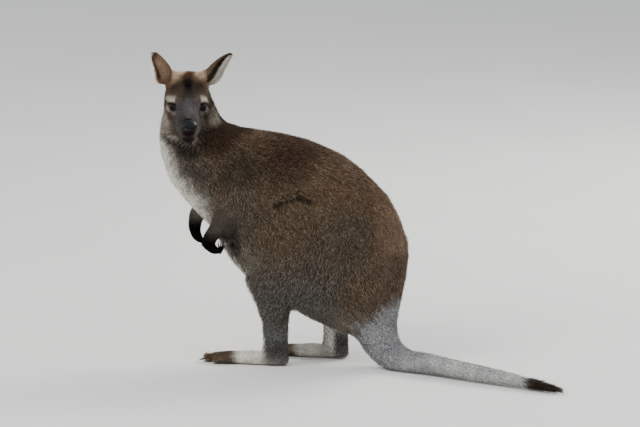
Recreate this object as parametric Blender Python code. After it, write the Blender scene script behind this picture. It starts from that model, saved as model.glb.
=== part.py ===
"""A red-necked wallaby at life size, standing at rest with its head turned to its left.

Units are metres, +Z is up and the trunk faces -X, so the animal's left is -Y. The flesh is
lofted from named stations, merged into one body, and then parted by thin cuts.
"""
import math

import bmesh
import bpy
import numpy as np
from mathutils import Matrix, Vector

GAP = 0.0004                 # width of the thin cuts that part the body
FLESH_VOXEL = 0.004          # grid on which the flesh is merged
FLESH_FACES = 1500
EXTREMITY_VOXEL = 0.0020     # a finer grid for hands and feet
HAND_FACES = 150
FOOT_FACES = 170
RING_SIDES = 28

# --- Trunk: (dorsal x, z), (belly x, z), sideways offset, half width -------------------------
TRUNK = (
    ((-0.197, 0.598), (-0.328, 0.588), -0.012, 0.055),   # nape, behind the head
    ((-0.178, 0.568), (-0.338, 0.541), -0.012, 0.063),   # throat
    ((-0.130, 0.554), (-0.337, 0.484), -0.011, 0.072),   # neck
    ((-0.063, 0.548), (-0.320, 0.427), -0.010, 0.081),   # shoulders
    ((0.010, 0.535), (-0.274, 0.366), -0.008, 0.090),    # chest
    ((0.084, 0.509), (-0.214, 0.306), -0.004, 0.100),    # last ribs
    ((0.149, 0.466), (-0.180, 0.247), 0.000, 0.108),     # waist
    ((0.209, 0.409), (-0.145, 0.205), 0.000, 0.114),     # loin
    ((0.245, 0.347), (-0.092, 0.170), 0.000, 0.116),     # hips
    ((0.262, 0.277), (-0.040, 0.136), 0.000, 0.112),     # rump
    ((0.260, 0.215), (0.018, 0.104), 0.000, 0.099),      # seat
    ((0.248, 0.157), (0.080, 0.081), -0.004, 0.078),     # above the tail
    ((0.240, 0.106), (0.131, 0.065), -0.012, 0.058),     # tail root
)
PEAR = 0.10                  # how much wider the trunk is towards the belly than the back

# --- Tail: x, y, radius; each station lies on the floor --------------------------------------
TAIL_BEND = (((0.250, 0.068), (0.165, 0.030), -0.028, 0.047),
             ((0.279, 0.053), (0.220, -0.003), -0.050, 0.039))
TAIL = ((0.320, -0.084, 0.0292), (0.362, -0.103, 0.0268), (0.414, -0.126, 0.0252),
        (0.467, -0.149, 0.0236), (0.518, -0.170, 0.0215), (0.570, -0.191, 0.0184),
        (0.618, -0.210, 0.0152), (0.663, -0.228, 0.0108))
TAIL_TIP_START = 5           # the station at which the tip is parted from the middle
FLAT_DEPTH = 0.0025          # how far the tail is pressed flat on the floor

# --- Head: its own axes are forward, left and up, from the point between the eyes ------------
EYE_LINE = Vector((-0.2456, -0.0889, 0.607))
HEAD_TURN = math.radians(16)      # the face looks along -Y, this far towards +X
HEAD_PITCH = math.radians(20)     # and this far below the horizon
EYE_RADIUS = 0.0125
EYE_SPOT = (-0.0055, 0.0300, -0.0035)
NOSE_SPOT, NOSE_RADII = (0.0825, 0, -0.0045), (0.0150, 0.0192, 0.0110)
EARS = {                          # root, tip, and the way the cup opens
    "left": ((-0.062, 0.038, 0.032), (-0.093, 0.1025, 0.088), (0.52, 0.85, -0.20)),
    "right": ((-0.060, -0.040, 0.034), (-0.052, -0.0825, 0.111), (-0.45, -0.90, -0.25)),
}

# --- Hind legs -------------------------------------------------------------------------------
LEFT_LEG = (0.000, -0.071)        # where the shank stands: x offset, y
RIGHT_LEG = (0.1165, 0.046)
SHANK_SET = 0.0405                # how far in front of that place its axis stands
SHANK_TOP = 0.104
FAR_SHANK_LOWER = 0.030           # how much lower the right shank is parted from its knee
SHANK_FRONT, SHANK_BACK = 0.062, 0.0425   # reach of the shank's cut from its axis
SHANK_INNER, SHANK_OUTER = 0.045, 0.041
ANKLE_TOP = 0.034
HEEL_SET = 0.004                  # how far in front of that place the heel's axes start
SOLE = (                          # x from the heel, height, half thickness, half width
    (-0.014, 0.0165, 0.0185, 0.0180), (-0.037, 0.0200, 0.0230, 0.0235),
    (-0.075, 0.0165, 0.0195, 0.0215), (-0.112, 0.0150, 0.0180, 0.0215),
    (-0.145, 0.0125, 0.0155, 0.0200))
TOES = (                          # name, root and tip as (x, way outwards, height), radii, claw
    ("long", (-0.140, 0.0, 0.0125), (-0.197, 0.0, 0.0095), (0.0150, 0.0100), 0.022, 0.0052),
    ("outer", (-0.132, 0.014, 0.0110), (-0.170, 0.022, 0.0085), (0.0105, 0.0078), 0.015, 0.0040),
    ("inner", (-0.128, -0.013, 0.0115), (-0.157, -0.018, 0.0080), (0.0090, 0.0065), 0.010, 0.0030),
)
ANKLE_SET, ANKLE_HEIGHTS = 0.0405, (0.022, 0.050)
ANKLE_HALVES = (0.0330, 0.0255)   # half depth and half width of the ankle
TOE_ARCH = 0.002                  # rise of a toe's middle
CLAW_SEAT = 0.45                  # a toe claw's root, in tip radii beyond the toe's end

# --- Arms: elbow, middle, wrist --------------------------------------------------------------
LEFT_ARM = ((-0.120, -0.080, 0.392), (-0.156, -0.079, 0.346), (-0.184, -0.082, 0.313),
            (-0.2020, -0.085, 0.2870))
RIGHT_ARM = ((-0.208, 0.062, 0.385), (-0.243, 0.056, 0.352), (-0.264, 0.048, 0.325),
             (-0.267, 0.040, 0.296))
LEFT_HAND = ((0.62, -0.04, -0.78), (0.78, 0.02, 0.62))      # along the hand, out of its palm
RIGHT_HAND = ((0.30, -0.16, -0.95), (0.90, 0.10, 0.30))
ARM_RADII = (0.037, 0.029, 0.0215, 0.0175)
UPPER_ARM_RADII = (0.052, 0.046, 0.036)
LEFT_SHOULDER = (-0.118, -0.060, 0.440)
RIGHT_SHOULDER = (-0.150, 0.048, 0.440)
PALM = (                          # way along the hand, out of the palm, half thickness, width
    (-0.008, 0.0, 0.0160, 0.0165), (0.004, 0.0, 0.0152, 0.0172), (0.020, 0.002, 0.0122, 0.0182),
    (0.030, 0.005, 0.0092, 0.0158))
FINGER_RADII = (0.0060, 0.0054, 0.0047, 0.0040)
FINGER_CURL = ((0.000, 0.004), (0.009, 0.009), (0.008, 0.017), (0.003, 0.0230))
FINGER_SPACING, FINGER_START = 0.0080, 0.027
FINGER_CLAW = (0.0095, 0.0024)    # length and radius
FINGER_CLAW_SEAT = 0.002

# --- Where the body is parted: points and directions in the layout ---------------------------
HEAD_OUTLINE = ((-0.074, 0.110), (-0.080, -0.004), (-0.040, -0.066), (0.110, -0.084),
                (0.150, 0.110))   # forward and up, in the head's axes
HEAD_MIDDLE, HEAD_HALF = (0.010, 0.0), 0.064
NECK_PLANE = ((-0.215, -0.018, 0.514), (-0.78, -0.05, 0.62))
TAIL_ROOT_PLANE = ((0.185, -0.012, 0.086), (0.42, -0.06, -0.90))
TAIL_ROOT_FRONT = 0.118
TAIL_MIDDLE_SET = (0.030, -0.017)          # from the first tail station to the middle's start
ARM_REGION_RADII = (0.050, 0.056, 0.050)
ARM_REGION_SET = 0.035                     # how far outwards the upper arm's region lies

# --- Softening and thinning ------------------------------------------------------------------
SOFT_STEP = 0.5
BROAD_ROUNDS = 60
FACE_MIDDLE_SET = 0.02                     # from between the eyes to the middle of the face
HEAD_REACH = 0.11
LOW_LIMBS = 0.12                           # height below which the limbs are slim
HEAD_LOSS, LIMB_LOSS = 0.80, 0.85
BREADTH_NEAR, BREADTH_LOW, BREADTH_FADE = 0.125, 0.125, 0.03

SKIN_COLOURS = {             # base colour and roughness of each finish
    "grizzled_fur": ((0.085, 0.058, 0.040), 0.90),
    "grey_fur": ((0.150, 0.145, 0.135), 0.90),
    "pale_fur": ((0.500, 0.480, 0.430), 0.90),
    "dark_fur": ((0.020, 0.014, 0.010), 0.85),
    "bare_skin": ((0.012, 0.010, 0.011), 0.45),
    "eye": ((0.010, 0.006, 0.004), 0.10),
    "claw": ((0.018, 0.014, 0.012), 0.40),
}


def head_axes():
    """Forward, left and up directions of the head."""
    level = math.cos(HEAD_PITCH)
    forward = Vector((level * math.sin(HEAD_TURN), -level * math.cos(HEAD_TURN),
                      -math.sin(HEAD_PITCH)))
    left = Vector((math.cos(HEAD_TURN), math.sin(HEAD_TURN), 0))
    return forward, left, forward.cross(left)


HEAD_FORWARD, HEAD_LEFT, HEAD_UP = head_axes()
HEAD_FRAME = Matrix((
    (HEAD_FORWARD.x, HEAD_LEFT.x, HEAD_UP.x, EYE_LINE.x),
    (HEAD_FORWARD.y, HEAD_LEFT.y, HEAD_UP.y, EYE_LINE.y),
    (HEAD_FORWARD.z, HEAD_LEFT.z, HEAD_UP.z, EYE_LINE.z),
    (0, 0, 0, 1)))


# --- Tools -----------------------------------------------------------------------------------
def smoothed(values, steps):
    """Catmull-Rom curve through rows of values, with this many steps between neighbours."""
    rows = np.asarray(values, float)
    padded = np.vstack((2 * rows[0] - rows[1], rows, 2 * rows[-1] - rows[-2]))
    found = []
    for i in range(len(rows) - 1):
        a, b, c, d = padded[i:i + 4]
        for t in np.linspace(0, 1, steps, endpoint=False):
            found.append(0.5 * (2 * b + (c - a) * t + (2 * a - 5 * b + 4 * c - d) * t ** 2
                                + (3 * b - a - 3 * c + d) * t ** 3))
    found.append(rows[-1])
    return np.array(found)


def tube(rings, steps=4, sides=RING_SIDES, pear=0.0, domes=(0.7, 0.7), turns=(0.45, 0.9, 1.25)):
    """Closed tube through rings of (centre, up, side), with rounded ends.

    up and side are half-axis vectors. A dome is as long as its share of the end's radius.
    """
    rows = smoothed([[*c, *u, *s] for c, u, s in rings], steps)
    centres, ups, widths = rows[:, :3], rows[:, 3:6], rows[:, 6:]
    angles = np.linspace(0, 2 * math.pi, sides, endpoint=False)
    spread = np.sin(angles) * (1 - pear * np.cos(angles))

    def ring(c, u, s, size=1.0):
        return c + size * (np.outer(np.cos(angles), u) + np.outer(spread, s))

    loops = [ring(c, u, s) for c, u, s in zip(centres, ups, widths)]
    poles = []
    for end, inner, share in ((0, 1, domes[0]), (-1, -2, domes[1])):
        outward = centres[end] - centres[inner]
        outward /= np.linalg.norm(outward)
        reach = share * min(np.linalg.norm(ups[end]), np.linalg.norm(widths[end]))
        caps = []
        for turn in turns:
            at = centres[end] + outward * reach * math.sin(turn)
            caps.append(ring(at, ups[end], widths[end], math.cos(turn)))
        poles.append(centres[end] + outward * reach)
        loops = caps[::-1] + loops if end == 0 else loops + caps
    points = np.vstack(loops + [np.array(poles)])
    count = len(loops)
    faces = []
    for i in range(count - 1):
        for j in range(sides):
            k = (j + 1) % sides
            faces.append((i * sides + j, i * sides + k, (i + 1) * sides + k,
                          (i + 1) * sides + j))
    first, last = count * sides, count * sides + 1
    for j in range(sides):
        k = (j + 1) % sides
        faces.append((first, k, j))
        faces.append((last, (count - 1) * sides + j, (count - 1) * sides + k))
    mesh = bpy.data.meshes.new("tube")
    mesh.from_pydata([tuple(p) for p in points], [], faces)
    return facing_out(mesh)


def facing_out(mesh):
    """The mesh in triangles split the same way each time, all facing outwards."""
    form = bmesh.new()
    form.from_mesh(mesh)
    bmesh.ops.recalc_face_normals(form, faces=form.faces)
    bmesh.ops.triangulate(form, faces=form.faces, quad_method="FIXED")
    form.to_mesh(mesh)
    form.free()
    return mesh


def ball(centre, radii, frame=None, rings=20):
    """Ellipsoid with these half axes, in the body's axes or in a frame."""
    place = Matrix.Translation(centre) @ Matrix.Diagonal((*radii, 1))
    if frame is not None:
        place = frame @ place
    form = bmesh.new()
    bmesh.ops.create_uvsphere(form, u_segments=rings + 4, v_segments=rings, radius=1,
                              matrix=place)
    mesh = bpy.data.meshes.new("ball")
    form.to_mesh(mesh)
    form.free()
    return mesh


def block(low, high, frame=None):
    """Box from its lowest to its highest corner."""
    size = Vector(high) - Vector(low)
    place = Matrix.Translation((Vector(low) + Vector(high)) / 2) @ Matrix.Diagonal((*size, 1))
    if frame is not None:
        place = frame @ place
    form = bmesh.new()
    bmesh.ops.create_cube(form, size=1, matrix=place)
    mesh = bpy.data.meshes.new("block")
    form.to_mesh(mesh)
    form.free()
    return mesh


def prism(outline, half_width, frame):
    """Outline of (forward, up) points in the frame, extruded to both sides."""
    form = bmesh.new()
    rim = [form.verts.new(frame @ Vector((f, -half_width, t))) for f, t in outline]
    face = form.faces.new(rim)
    made = bmesh.ops.extrude_face_region(form, geom=[face])
    moved = [v for v in made["geom"] if isinstance(v, bmesh.types.BMVert)]
    across = (frame.to_3x3() @ Vector((0, 1, 0))) * 2 * half_width
    bmesh.ops.translate(form, verts=moved, vec=across)
    bmesh.ops.recalc_face_normals(form, faces=form.faces)
    mesh = bpy.data.meshes.new("prism")
    form.to_mesh(mesh)
    form.free()
    return mesh


def new_object(name, mesh):
    made = bpy.data.objects.new(name, mesh)
    bpy.context.scene.collection.objects.link(made)
    return made


def evaluated(item):
    """The object's mesh with its modifiers applied. The object itself is removed."""
    graph = bpy.context.evaluated_depsgraph_get()
    mesh = bpy.data.meshes.new_from_object(item.evaluated_get(graph))
    bpy.data.objects.remove(item)
    return mesh


def joined(meshes):
    """Several meshes in one, as separate shells."""
    form = bmesh.new()
    for mesh in meshes:
        form.from_mesh(mesh)
    whole = bpy.data.meshes.new("joined")
    form.to_mesh(whole)
    form.free()
    return whole


def merged(meshes, voxel, faces, rounds, detail=None, broad=None):
    """Shells grown into one smooth body, with about this many triangles.

    broad gives each vertex its share of a second, stronger softening. detail gives the share
    of its triangles that it loses, 1 for a plain stretch.
    """
    item = new_object("merging", joined(meshes))
    remesh = item.modifiers.new("merge", "REMESH")
    remesh.mode = "VOXEL"
    remesh.voxel_size = voxel
    soft = item.modifiers.new("soften", "SMOOTH")
    soft.factor = SOFT_STEP
    soft.iterations = rounds
    if broad is not None:
        item = new_object("softening", evaluated(item))
        weigh(item, "broad", broad)
        soft = item.modifiers.new("blend", "SMOOTH")
        soft.factor = SOFT_STEP
        soft.iterations = BROAD_ROUNDS
        soft.vertex_group = "broad"
    item = new_object("thinning", evaluated(item))
    thin = item.modifiers.new("thin", "DECIMATE")
    thin.ratio = faces / (2 * len(item.data.polygons))
    if detail is not None:
        weigh(item, "plain", detail)
        thin.vertex_group = "plain"
        thin.vertex_group_factor = 1.0
    return evaluated(item)


def weigh(item, name, share):
    """Vertex group whose weights are a function of place."""
    group = item.vertex_groups.new(name=name)
    for vertex in item.data.vertices:
        group.add([vertex.index], share(vertex.co), "REPLACE")


def boolean(mesh, tool, operation):
    """The mesh cut by, met with or joined to the tool's mesh."""
    item, other = new_object("item", mesh), new_object("tool", tool)
    other.hide_render = True
    step = item.modifiers.new("step", "BOOLEAN")
    step.operation = operation
    step.object = other
    result = evaluated(item)
    bpy.data.objects.remove(other)
    return result


def parted(mesh, region):
    """(what lies in the region, the rest), with a thin cut between. region takes a margin."""
    inside = boolean(mesh.copy(), region(0.0), "INTERSECT")
    rest = boolean(mesh, region(GAP), "DIFFERENCE")
    return inside, rest


def trunk_ring(dorsal, belly, offset, half_width):
    top, low = Vector((dorsal[0], offset, dorsal[1])), Vector((belly[0], offset, belly[1]))
    return (top + low) / 2, (top - low) / 2, Vector((0, half_width, 0))


def round_ring(centre, radius, along, side_radius=None):
    """Ring square to a direction."""
    along = Vector(along).normalized()
    hint = Vector((0, 1, 0)) if abs(along.y) < 0.9 else Vector((1, 0, 0))
    side = (hint - along * hint.dot(along)).normalized()
    up = along.cross(side)
    return Vector(centre), up * radius, side * (side_radius or radius)


def limb(points, radii, **settings):
    """Tube along points, with a radius at each."""
    points = [Vector(p) for p in points]
    rings = []
    for i, (point, radius) in enumerate(zip(points, radii)):
        along = points[min(i + 1, len(points) - 1)] - points[max(i - 1, 0)]
        rings.append(round_ring(point, radius, along))
    return tube(rings, **settings)


# --- Flesh -----------------------------------------------------------------------------------
def trunk_and_tail():
    rings = [trunk_ring(*station) for station in TRUNK + TAIL_BEND]
    along = Vector((TAIL[-1][0] - TAIL[0][0], TAIL[-1][1] - TAIL[0][1], 0)).normalized()
    side = Vector((-along.y, along.x, 0))
    for x, y, radius in TAIL:
        rings.append((Vector((x, y, radius - FLAT_DEPTH)), Vector((0, 0, radius)),
                      side * radius))
    return tube(rings, pear=PEAR, domes=(0.8, 1.6))


def head_blocks():
    """Skull, face, muzzle and jaws, in the head's own axes."""
    frame = HEAD_FRAME
    parts = [
        ball((-0.044, 0, 0.006), (0.058, 0.052, 0.046), frame),      # brain case
        ball((-0.062, 0, 0.026), (0.036, 0.046, 0.035), frame),      # crown
        ball((-0.014, 0, 0.010), (0.042, 0.036, 0.028), frame),      # forehead
    ]
    for side in (-1, 1):
        parts += [
            ball((-0.040, side * 0.033, -0.022), (0.044, 0.027, 0.040), frame),   # cheek
            ball((-0.047, side * 0.031, 0.002), (0.040, 0.027, 0.027), frame),    # temple
            ball((-0.014, side * 0.027, 0.0135), (0.022, 0.012, 0.0095), frame),  # brow
            ball((-0.066, side * 0.038, 0.041), (0.023, 0.021, 0.024), frame),    # ear root
        ]

    def lengthwise(stations):
        rings = [(frame @ Vector((f, 0, t)), HEAD_UP * up, HEAD_LEFT * half)
                 for f, t, up, half in stations]
        return tube(rings, domes=(0.5, 0.55))

    muzzle = ((-0.014, -0.003, 0.036, 0.037), (0.012, -0.0085, 0.0335, 0.0305),
              (0.036, -0.0130, 0.0305, 0.0265), (0.057, -0.0160, 0.0275, 0.0240),
              (0.072, -0.0175, 0.0245, 0.0220))
    lower_jaw = ((-0.034, -0.034, 0.034, 0.053), (0.000, -0.040, 0.0285, 0.043),
                 (0.030, -0.0460, 0.0238, 0.0295), (0.055, -0.0520, 0.0195, 0.0190))
    return parts + [lengthwise(muzzle), lengthwise(lower_jaw)]


def hind_leg(place):
    """Haunch, knee and shank of the leg whose shank stands at place."""
    shift, y = place
    side = math.copysign(1, y)
    haunch = Vector((0.085 + 0.15 * shift, side * 0.074, 0.256))
    stations = (              # centre, half depth, half width, slope of the section
        ((0.055 + shift, side * 0.078, 0.240), 0.086, 0.050, 49),
        ((-0.004 + shift, side * 0.078, 0.216), 0.084, 0.048, 42),
        ((-0.0505 + shift, y + side * 0.004, 0.185), 0.0750, 0.044, 21),
        ((-0.0455 + shift, y + side * 0.002, 0.138), 0.0460, 0.036, 6),
        ((-0.0410 + shift, y, 0.096), 0.0370, 0.0290, 0),
        ((-0.0410 + shift, y, 0.052), 0.0345, 0.0265, 0),
        ((-0.0405 + shift, y, 0.020), 0.0340, 0.0260, 0),
    )
    rings = []
    for centre, reach, half, slope in stations:
        turn = math.radians(slope)
        rings.append((Vector(centre), Vector((-math.cos(turn), 0, math.sin(turn))) * reach,
                      Vector((0, half, 0))))
    return [ball(haunch, (0.150, 0.058, 0.134)), tube(rings, domes=(0.7, 0.2))]


def thigh_region(place):
    """Region round the haunch and knee, clear of the trunk's middle."""
    shift, y = place
    side = math.copysign(1, y)
    hip, knee = Vector((0.092 + 0.15 * shift, 0, 0.262)), Vector((-0.047 + shift, 0, 0.132))
    along = (knee - hip).normalized()
    up = Vector((-along.z, 0, along.x))
    stations = ((hip - along * 0.105, 0.085, 0.150, 0.090), (hip, 0.137, 0.150, 0.090),
                ((hip + knee) / 2 - up * 0.012, 0.124, 0.128, 0.080),
                (knee - up * 0.018, 0.096, 0.092, 0.080))

    def region(grow):
        rings = [(Vector((centre.x, side * off, centre.z)), up * (reach + grow),
                  Vector((0, half + grow, 0))) for centre, reach, off, half in stations]
        return tube(rings, steps=1, sides=14, domes=(0.5, 0.5), turns=(0.7, 1.2))

    return region


def upper_arm(stations, shoulder, grow=0.0):
    middle = (Vector(stations[0]) + Vector(shoulder)) / 2
    return limb((shoulder, middle, stations[0]),
                [radius + grow for radius in UPPER_ARM_RADII], sides=20)


def forearm(stations, grow=0.0):
    """Forearm from the elbow to the wrist, where it ends flat."""
    radii = [radius + grow for radius in ARM_RADII]
    return limb(stations, radii, steps=2, sides=12, domes=(0.9, 0.05), turns=(0.8,))


def loss(point):
    """1 on the plain stretches, less on the head and the slim limbs."""
    near_head = (point - (EYE_LINE + HEAD_FORWARD * FACE_MIDDLE_SET)).length
    if near_head < HEAD_REACH:
        return HEAD_LOSS
    return LIMB_LOSS if point.z < LOW_LIMBS else 1.0


def breadth(point):
    """1 on the trunk and haunches, down to 0 on the head, the shanks and the tail."""
    near_head = (point - (EYE_LINE + HEAD_FORWARD * FACE_MIDDLE_SET)).length
    share = min(near_head - BREADTH_NEAR, point.z - BREADTH_LOW) / BREADTH_FADE
    return min(max(share, 0.0), 1.0)


def flesh():
    shells = [trunk_and_tail(), *head_blocks(), *hind_leg(LEFT_LEG), *hind_leg(RIGHT_LEG),
              upper_arm(LEFT_ARM, LEFT_SHOULDER), upper_arm(RIGHT_ARM, RIGHT_SHOULDER)]
    body = merged(shells, FLESH_VOXEL, FLESH_FACES, 6, loss, breadth)
    return boolean(body, below(0.0), "DIFFERENCE")


# --- Extremities -----------------------------------------------------------------------------
def claw(root, aim, droop, length, radius, grow=0.0):
    """Curved horn cone from root, along aim and bending towards droop."""
    root, aim, droop = Vector(root), Vector(aim).normalized(), Vector(droop).normalized()
    points, radii = [], []
    for share in (-0.35, 0.2, 0.6, 0.9):
        bend = 0.35 * max(share, 0) ** 2
        points.append(root + (aim * share + droop * bend) * (length + grow))
        radii.append(radius * (1 - 0.85 * max(share, 0)) + grow)
    return limb(points, radii, steps=1, sides=6, domes=(0.3, 0.8), turns=(0.8,))


def below(height):
    """Block from far below the floor up to a height."""
    return block((-1, -1, -0.2), (1.5, 1, height))


def foot(place):
    """Long narrow foot, flat on the floor, and its claws by name."""
    shift, y = place
    side = math.copysign(1, y)
    heel = shift - HEEL_SET
    rings = [(Vector((heel + x, y, z)), Vector((0, 0, up)), Vector((0, half, 0)))
             for x, z, up, half in SOLE]
    deep, wide = ANKLE_HALVES
    ankle = [(Vector((shift - ANKLE_SET, y, z)), Vector((deep, 0, 0)), Vector((0, wide, 0)))
             for z in ANKLE_HEIGHTS]
    shells = [tube(rings, domes=(0.8, 0.8)), tube(ankle, domes=(0.3, 0.2))]
    claws = {}
    for name, root, tip, (thick, thin), length, radius in TOES:
        root, tip = (Vector((heel + x, y + side * out, z)) for x, out, z in (root, tip))
        shells.append(limb((root, (root + tip) / 2 + Vector((0, 0, TOE_ARCH)), tip),
                           (thick, (thick + thin) / 2, thin), sides=16))
        aim = tip - root + Vector((0, 0, 2 * TOE_ARCH))
        end = tip + (tip - root).normalized() * thin * CLAW_SEAT
        claws[name] = lambda grow, e=end, a=aim, n=length, r=radius: claw(
            e, a, (0, 0, -1), n, r, grow)
    body = merged(shells, EXTREMITY_VOXEL, FOOT_FACES, 3)
    body = boolean(body, below(0.0), "DIFFERENCE")
    return boolean(body, block((-1, -1, ANKLE_TOP), (1, 1, 0.3)), "DIFFERENCE"), claws


def hand_frame(wrist, down, palm):
    """Axes of a hand: along it, across it, and out of its palm."""
    down = Vector(down).normalized()
    palm = (Vector(palm) - down * Vector(palm).dot(down)).normalized()
    across = palm.cross(down)
    return Matrix((
        (down.x, across.x, palm.x, wrist[0]), (down.y, across.y, palm.y, wrist[1]),
        (down.z, across.z, palm.z, wrist[2]), (0, 0, 0, 1)))


def hand(wrist, down, palm):
    """Small paw with five curled digits, and its claws by name."""
    frame = hand_frame(wrist, down, palm)
    along, across, out = (Vector(way) for way in frame.to_3x3().transposed())
    rings = [(frame @ Vector((d, 0, p)), out * thick, across * wide) for d, p, thick, wide in PALM]
    shells, claws = [tube(rings, domes=(0.2, 0.6))], {}
    for digit in range(5):
        beside = (digit - 2) * FINGER_SPACING
        start = FINGER_START - 0.0022 * abs(digit - 2) ** 1.5      # the outer ones start sooner
        joints = [frame @ Vector((start + d, beside * (1 + 10 * p), p)) for d, p in FINGER_CURL]
        shells.append(limb(joints, FINGER_RADII, steps=3, sides=12))
        aim = joints[-1] - joints[-2]
        hook = -along - out * 0.2
        seat = joints[-1] + aim.normalized() * FINGER_CLAW_SEAT
        claws[str(digit + 1)] = lambda grow, e=seat, a=aim, h=hook: claw(e, a, h, *FINGER_CLAW,
                                                                        grow)
    return merged(shells, EXTREMITY_VOXEL, HAND_FACES, 2), claws


def ear(root, tip, opening, grow=0.0):
    """Cupped leaf from root to tip, in the head's axes, hollow towards the opening."""
    root, tip, opening = (HEAD_FRAME @ Vector(root), HEAD_FRAME @ Vector(tip),
                          HEAD_FRAME.to_3x3() @ Vector(opening))
    along = (tip - root).normalized()
    root, tip = root - along * grow, tip + along * grow
    axis = tip - root
    length = axis.length
    hollow = (opening - along * opening.dot(along)).normalized()
    across = along.cross(hollow)
    rows, columns = 9, 6
    wall = 0.0016 + grow
    layers = []
    for side in (1, -1):
        layer = []
        for i in range(rows):
            share = i / (rows - 1)
            spread = min(share / 0.4, 1.0)
            width = (0.0185 + 0.0065 * spread * spread * (3 - 2 * spread)
                     ) * max(1 - share ** 3, 0.03) ** 0.5
            wrap = math.radians(118 - 58 * share)          # half angle of the cup's arc
            radius = width / math.sin(min(wrap, math.pi / 2))
            wrap += grow / radius
            bow = 0.04 * length * math.sin(math.pi * share)
            for j in range(columns + 1):
                turn = wrap * (2 * j / columns - 1)
                thin = wall * (1 - 0.35 * abs(2 * j / columns - 1) ** 2)
                reach = radius + side * thin
                layer.append(root + axis * share - hollow * bow
                             + across * reach * math.sin(turn)
                             - hollow * (reach * math.cos(turn) - radius * 0.55))
        layers.append(layer)
    count, stride = len(layers[0]), columns + 1
    faces = []
    for base, flip in ((0, False), (count, True)):
        for i in range(rows - 1):
            for j in range(columns):
                quad = [base + i * stride + j, base + i * stride + j + 1,
                        base + (i + 1) * stride + j + 1, base + (i + 1) * stride + j]
                faces.append(quad[::-1] if flip else quad)
    rim = ([i * stride for i in range(rows)]
           + [(rows - 1) * stride + j for j in range(1, columns + 1)]
           + [i * stride + columns for i in range(rows - 2, -1, -1)]
           + list(range(columns - 1, 0, -1)))
    for a, b in zip(rim, rim[1:] + rim[:1]):
        faces.append((a, b, b + count, a + count))
    mesh = bpy.data.meshes.new("ear")
    mesh.from_pydata([tuple(p) for p in layers[0] + layers[1]], [], faces)
    return facing_out(mesh)


# --- Cuts ------------------------------------------------------------------------------------
def head_region(grow):
    forward, up = HEAD_MIDDLE
    grown = [(f + math.copysign(grow, f - forward), t + math.copysign(grow, t - up))
             for f, t in HEAD_OUTLINE]
    return prism(grown, HEAD_HALF + grow, HEAD_FRAME)


def beyond_plane(point, normal, grow, reach=0.5):
    """Large block on the far side of a plane, which moves back by the margin."""
    normal = Vector(normal).normalized()
    turn = normal.to_track_quat("Z", "Y").to_matrix().to_4x4()
    frame = Matrix.Translation(point) @ turn
    return block((-reach, -reach, -grow), (reach, reach, 2 * reach), frame)


def around(centre, radii, frame=None):
    """Region inside an ellipsoid."""
    return lambda grow: ball(centre, [r + grow for r in radii], frame, 12)


def box_region(low, high):
    return lambda grow: block(Vector(low) - Vector((grow,) * 3),
                              Vector(high) + Vector((grow,) * 3))


def material(name):
    found = bpy.data.materials.get(name)
    if found:
        return found
    colour, roughness = SKIN_COLOURS[name]
    made = bpy.data.materials.new(name)
    made.use_nodes = True
    shader = made.node_tree.nodes["Principled BSDF"]
    shader.inputs["Base Color"].default_value = (*colour, 1)
    shader.inputs["Roughness"].default_value = roughness
    shader.inputs["Metallic"].default_value = 0.0
    return made


def without_crumbs(mesh):
    """The mesh's largest shell alone, without slivers left by a cut."""
    form = bmesh.new()
    form.from_mesh(mesh)
    waiting, shells = set(form.faces), []
    while waiting:
        shell, edge = set(), [waiting.pop()]
        while edge:
            face = edge.pop()
            shell.add(face)
            near = {other for side in face.edges for other in side.link_faces} & waiting
            waiting -= near
            edge.extend(near)
        shells.append(shell)
    largest = max(shells, key=lambda shell: sum(face.calc_area() for face in shell))
    small = [face for shell in shells if shell is not largest for face in shell]
    bmesh.ops.delete(form, geom=small, context="FACES")
    bmesh.ops.delete(form, geom=[v for v in form.verts if not v.link_faces], context="VERTS")
    form.to_mesh(mesh)
    form.free()
    return mesh


def finished(name, mesh, finish):
    """The piece as a named object, shaded smooth, with its finish."""
    item = new_object(name, without_crumbs(mesh))
    mesh.materials.clear()
    mesh.materials.append(material(finish))
    mesh.shade_smooth()
    mesh.set_sharp_from_angle(angle=math.radians(40))
    return item


def ear_pieces(body):
    """Ears, each rooted in a slot of its own shape."""
    for name, (root, tip, opening) in EARS.items():
        body = boolean(body, ear(root, tip, opening, 2 * GAP), "DIFFERENCE")
        finished(f"{name}_ear", ear(root, tip, opening), "dark_fur")
    return body


def head_pieces(head):
    """Eyes and nose set into the head."""
    for side, name in ((1, "left"), (-1, "right")):
        spot = (EYE_SPOT[0], side * EYE_SPOT[1], EYE_SPOT[2])
        head = boolean(head, ball(spot, (EYE_RADIUS + GAP,) * 3, HEAD_FRAME, 8), "DIFFERENCE")
        finished(f"{name}_eye", ball(spot, (EYE_RADIUS,) * 3, HEAD_FRAME, 8), "eye")
    nose, head = parted(head, around(NOSE_SPOT, NOSE_RADII, HEAD_FRAME))
    finished("nose", nose, "bare_skin")
    finished("head", head, "grizzled_fur")


def tail_pieces(body):
    """Tip, middle and root of the tail, parted across its length."""
    (x, y, _), (tip_x, tip_y, _) = TAIL[0], TAIL[TAIL_TIP_START]
    along = Vector((TAIL[-1][0] - x, TAIL[-1][1] - y, 0))
    start = (x + TAIL_MIDDLE_SET[0], y + TAIL_MIDDLE_SET[1], 0.02)
    tip, body = parted(body, lambda grow: beyond_plane((tip_x, tip_y, 0.02), along, grow))
    middle, body = parted(body, lambda grow: beyond_plane(start, along, grow))
    root, body = parted(body, lambda grow: boolean(
        beyond_plane(*TAIL_ROOT_PLANE, grow),
        block((TAIL_ROOT_FRONT, -0.5, -0.5), (1.2, 0.5, 0.5)), "INTERSECT"))
    finished("tail_tip", tip, "grey_fur")
    finished("tail_middle", middle, "grey_fur")
    finished("tail_root", root, "grey_fur")
    return body


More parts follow.
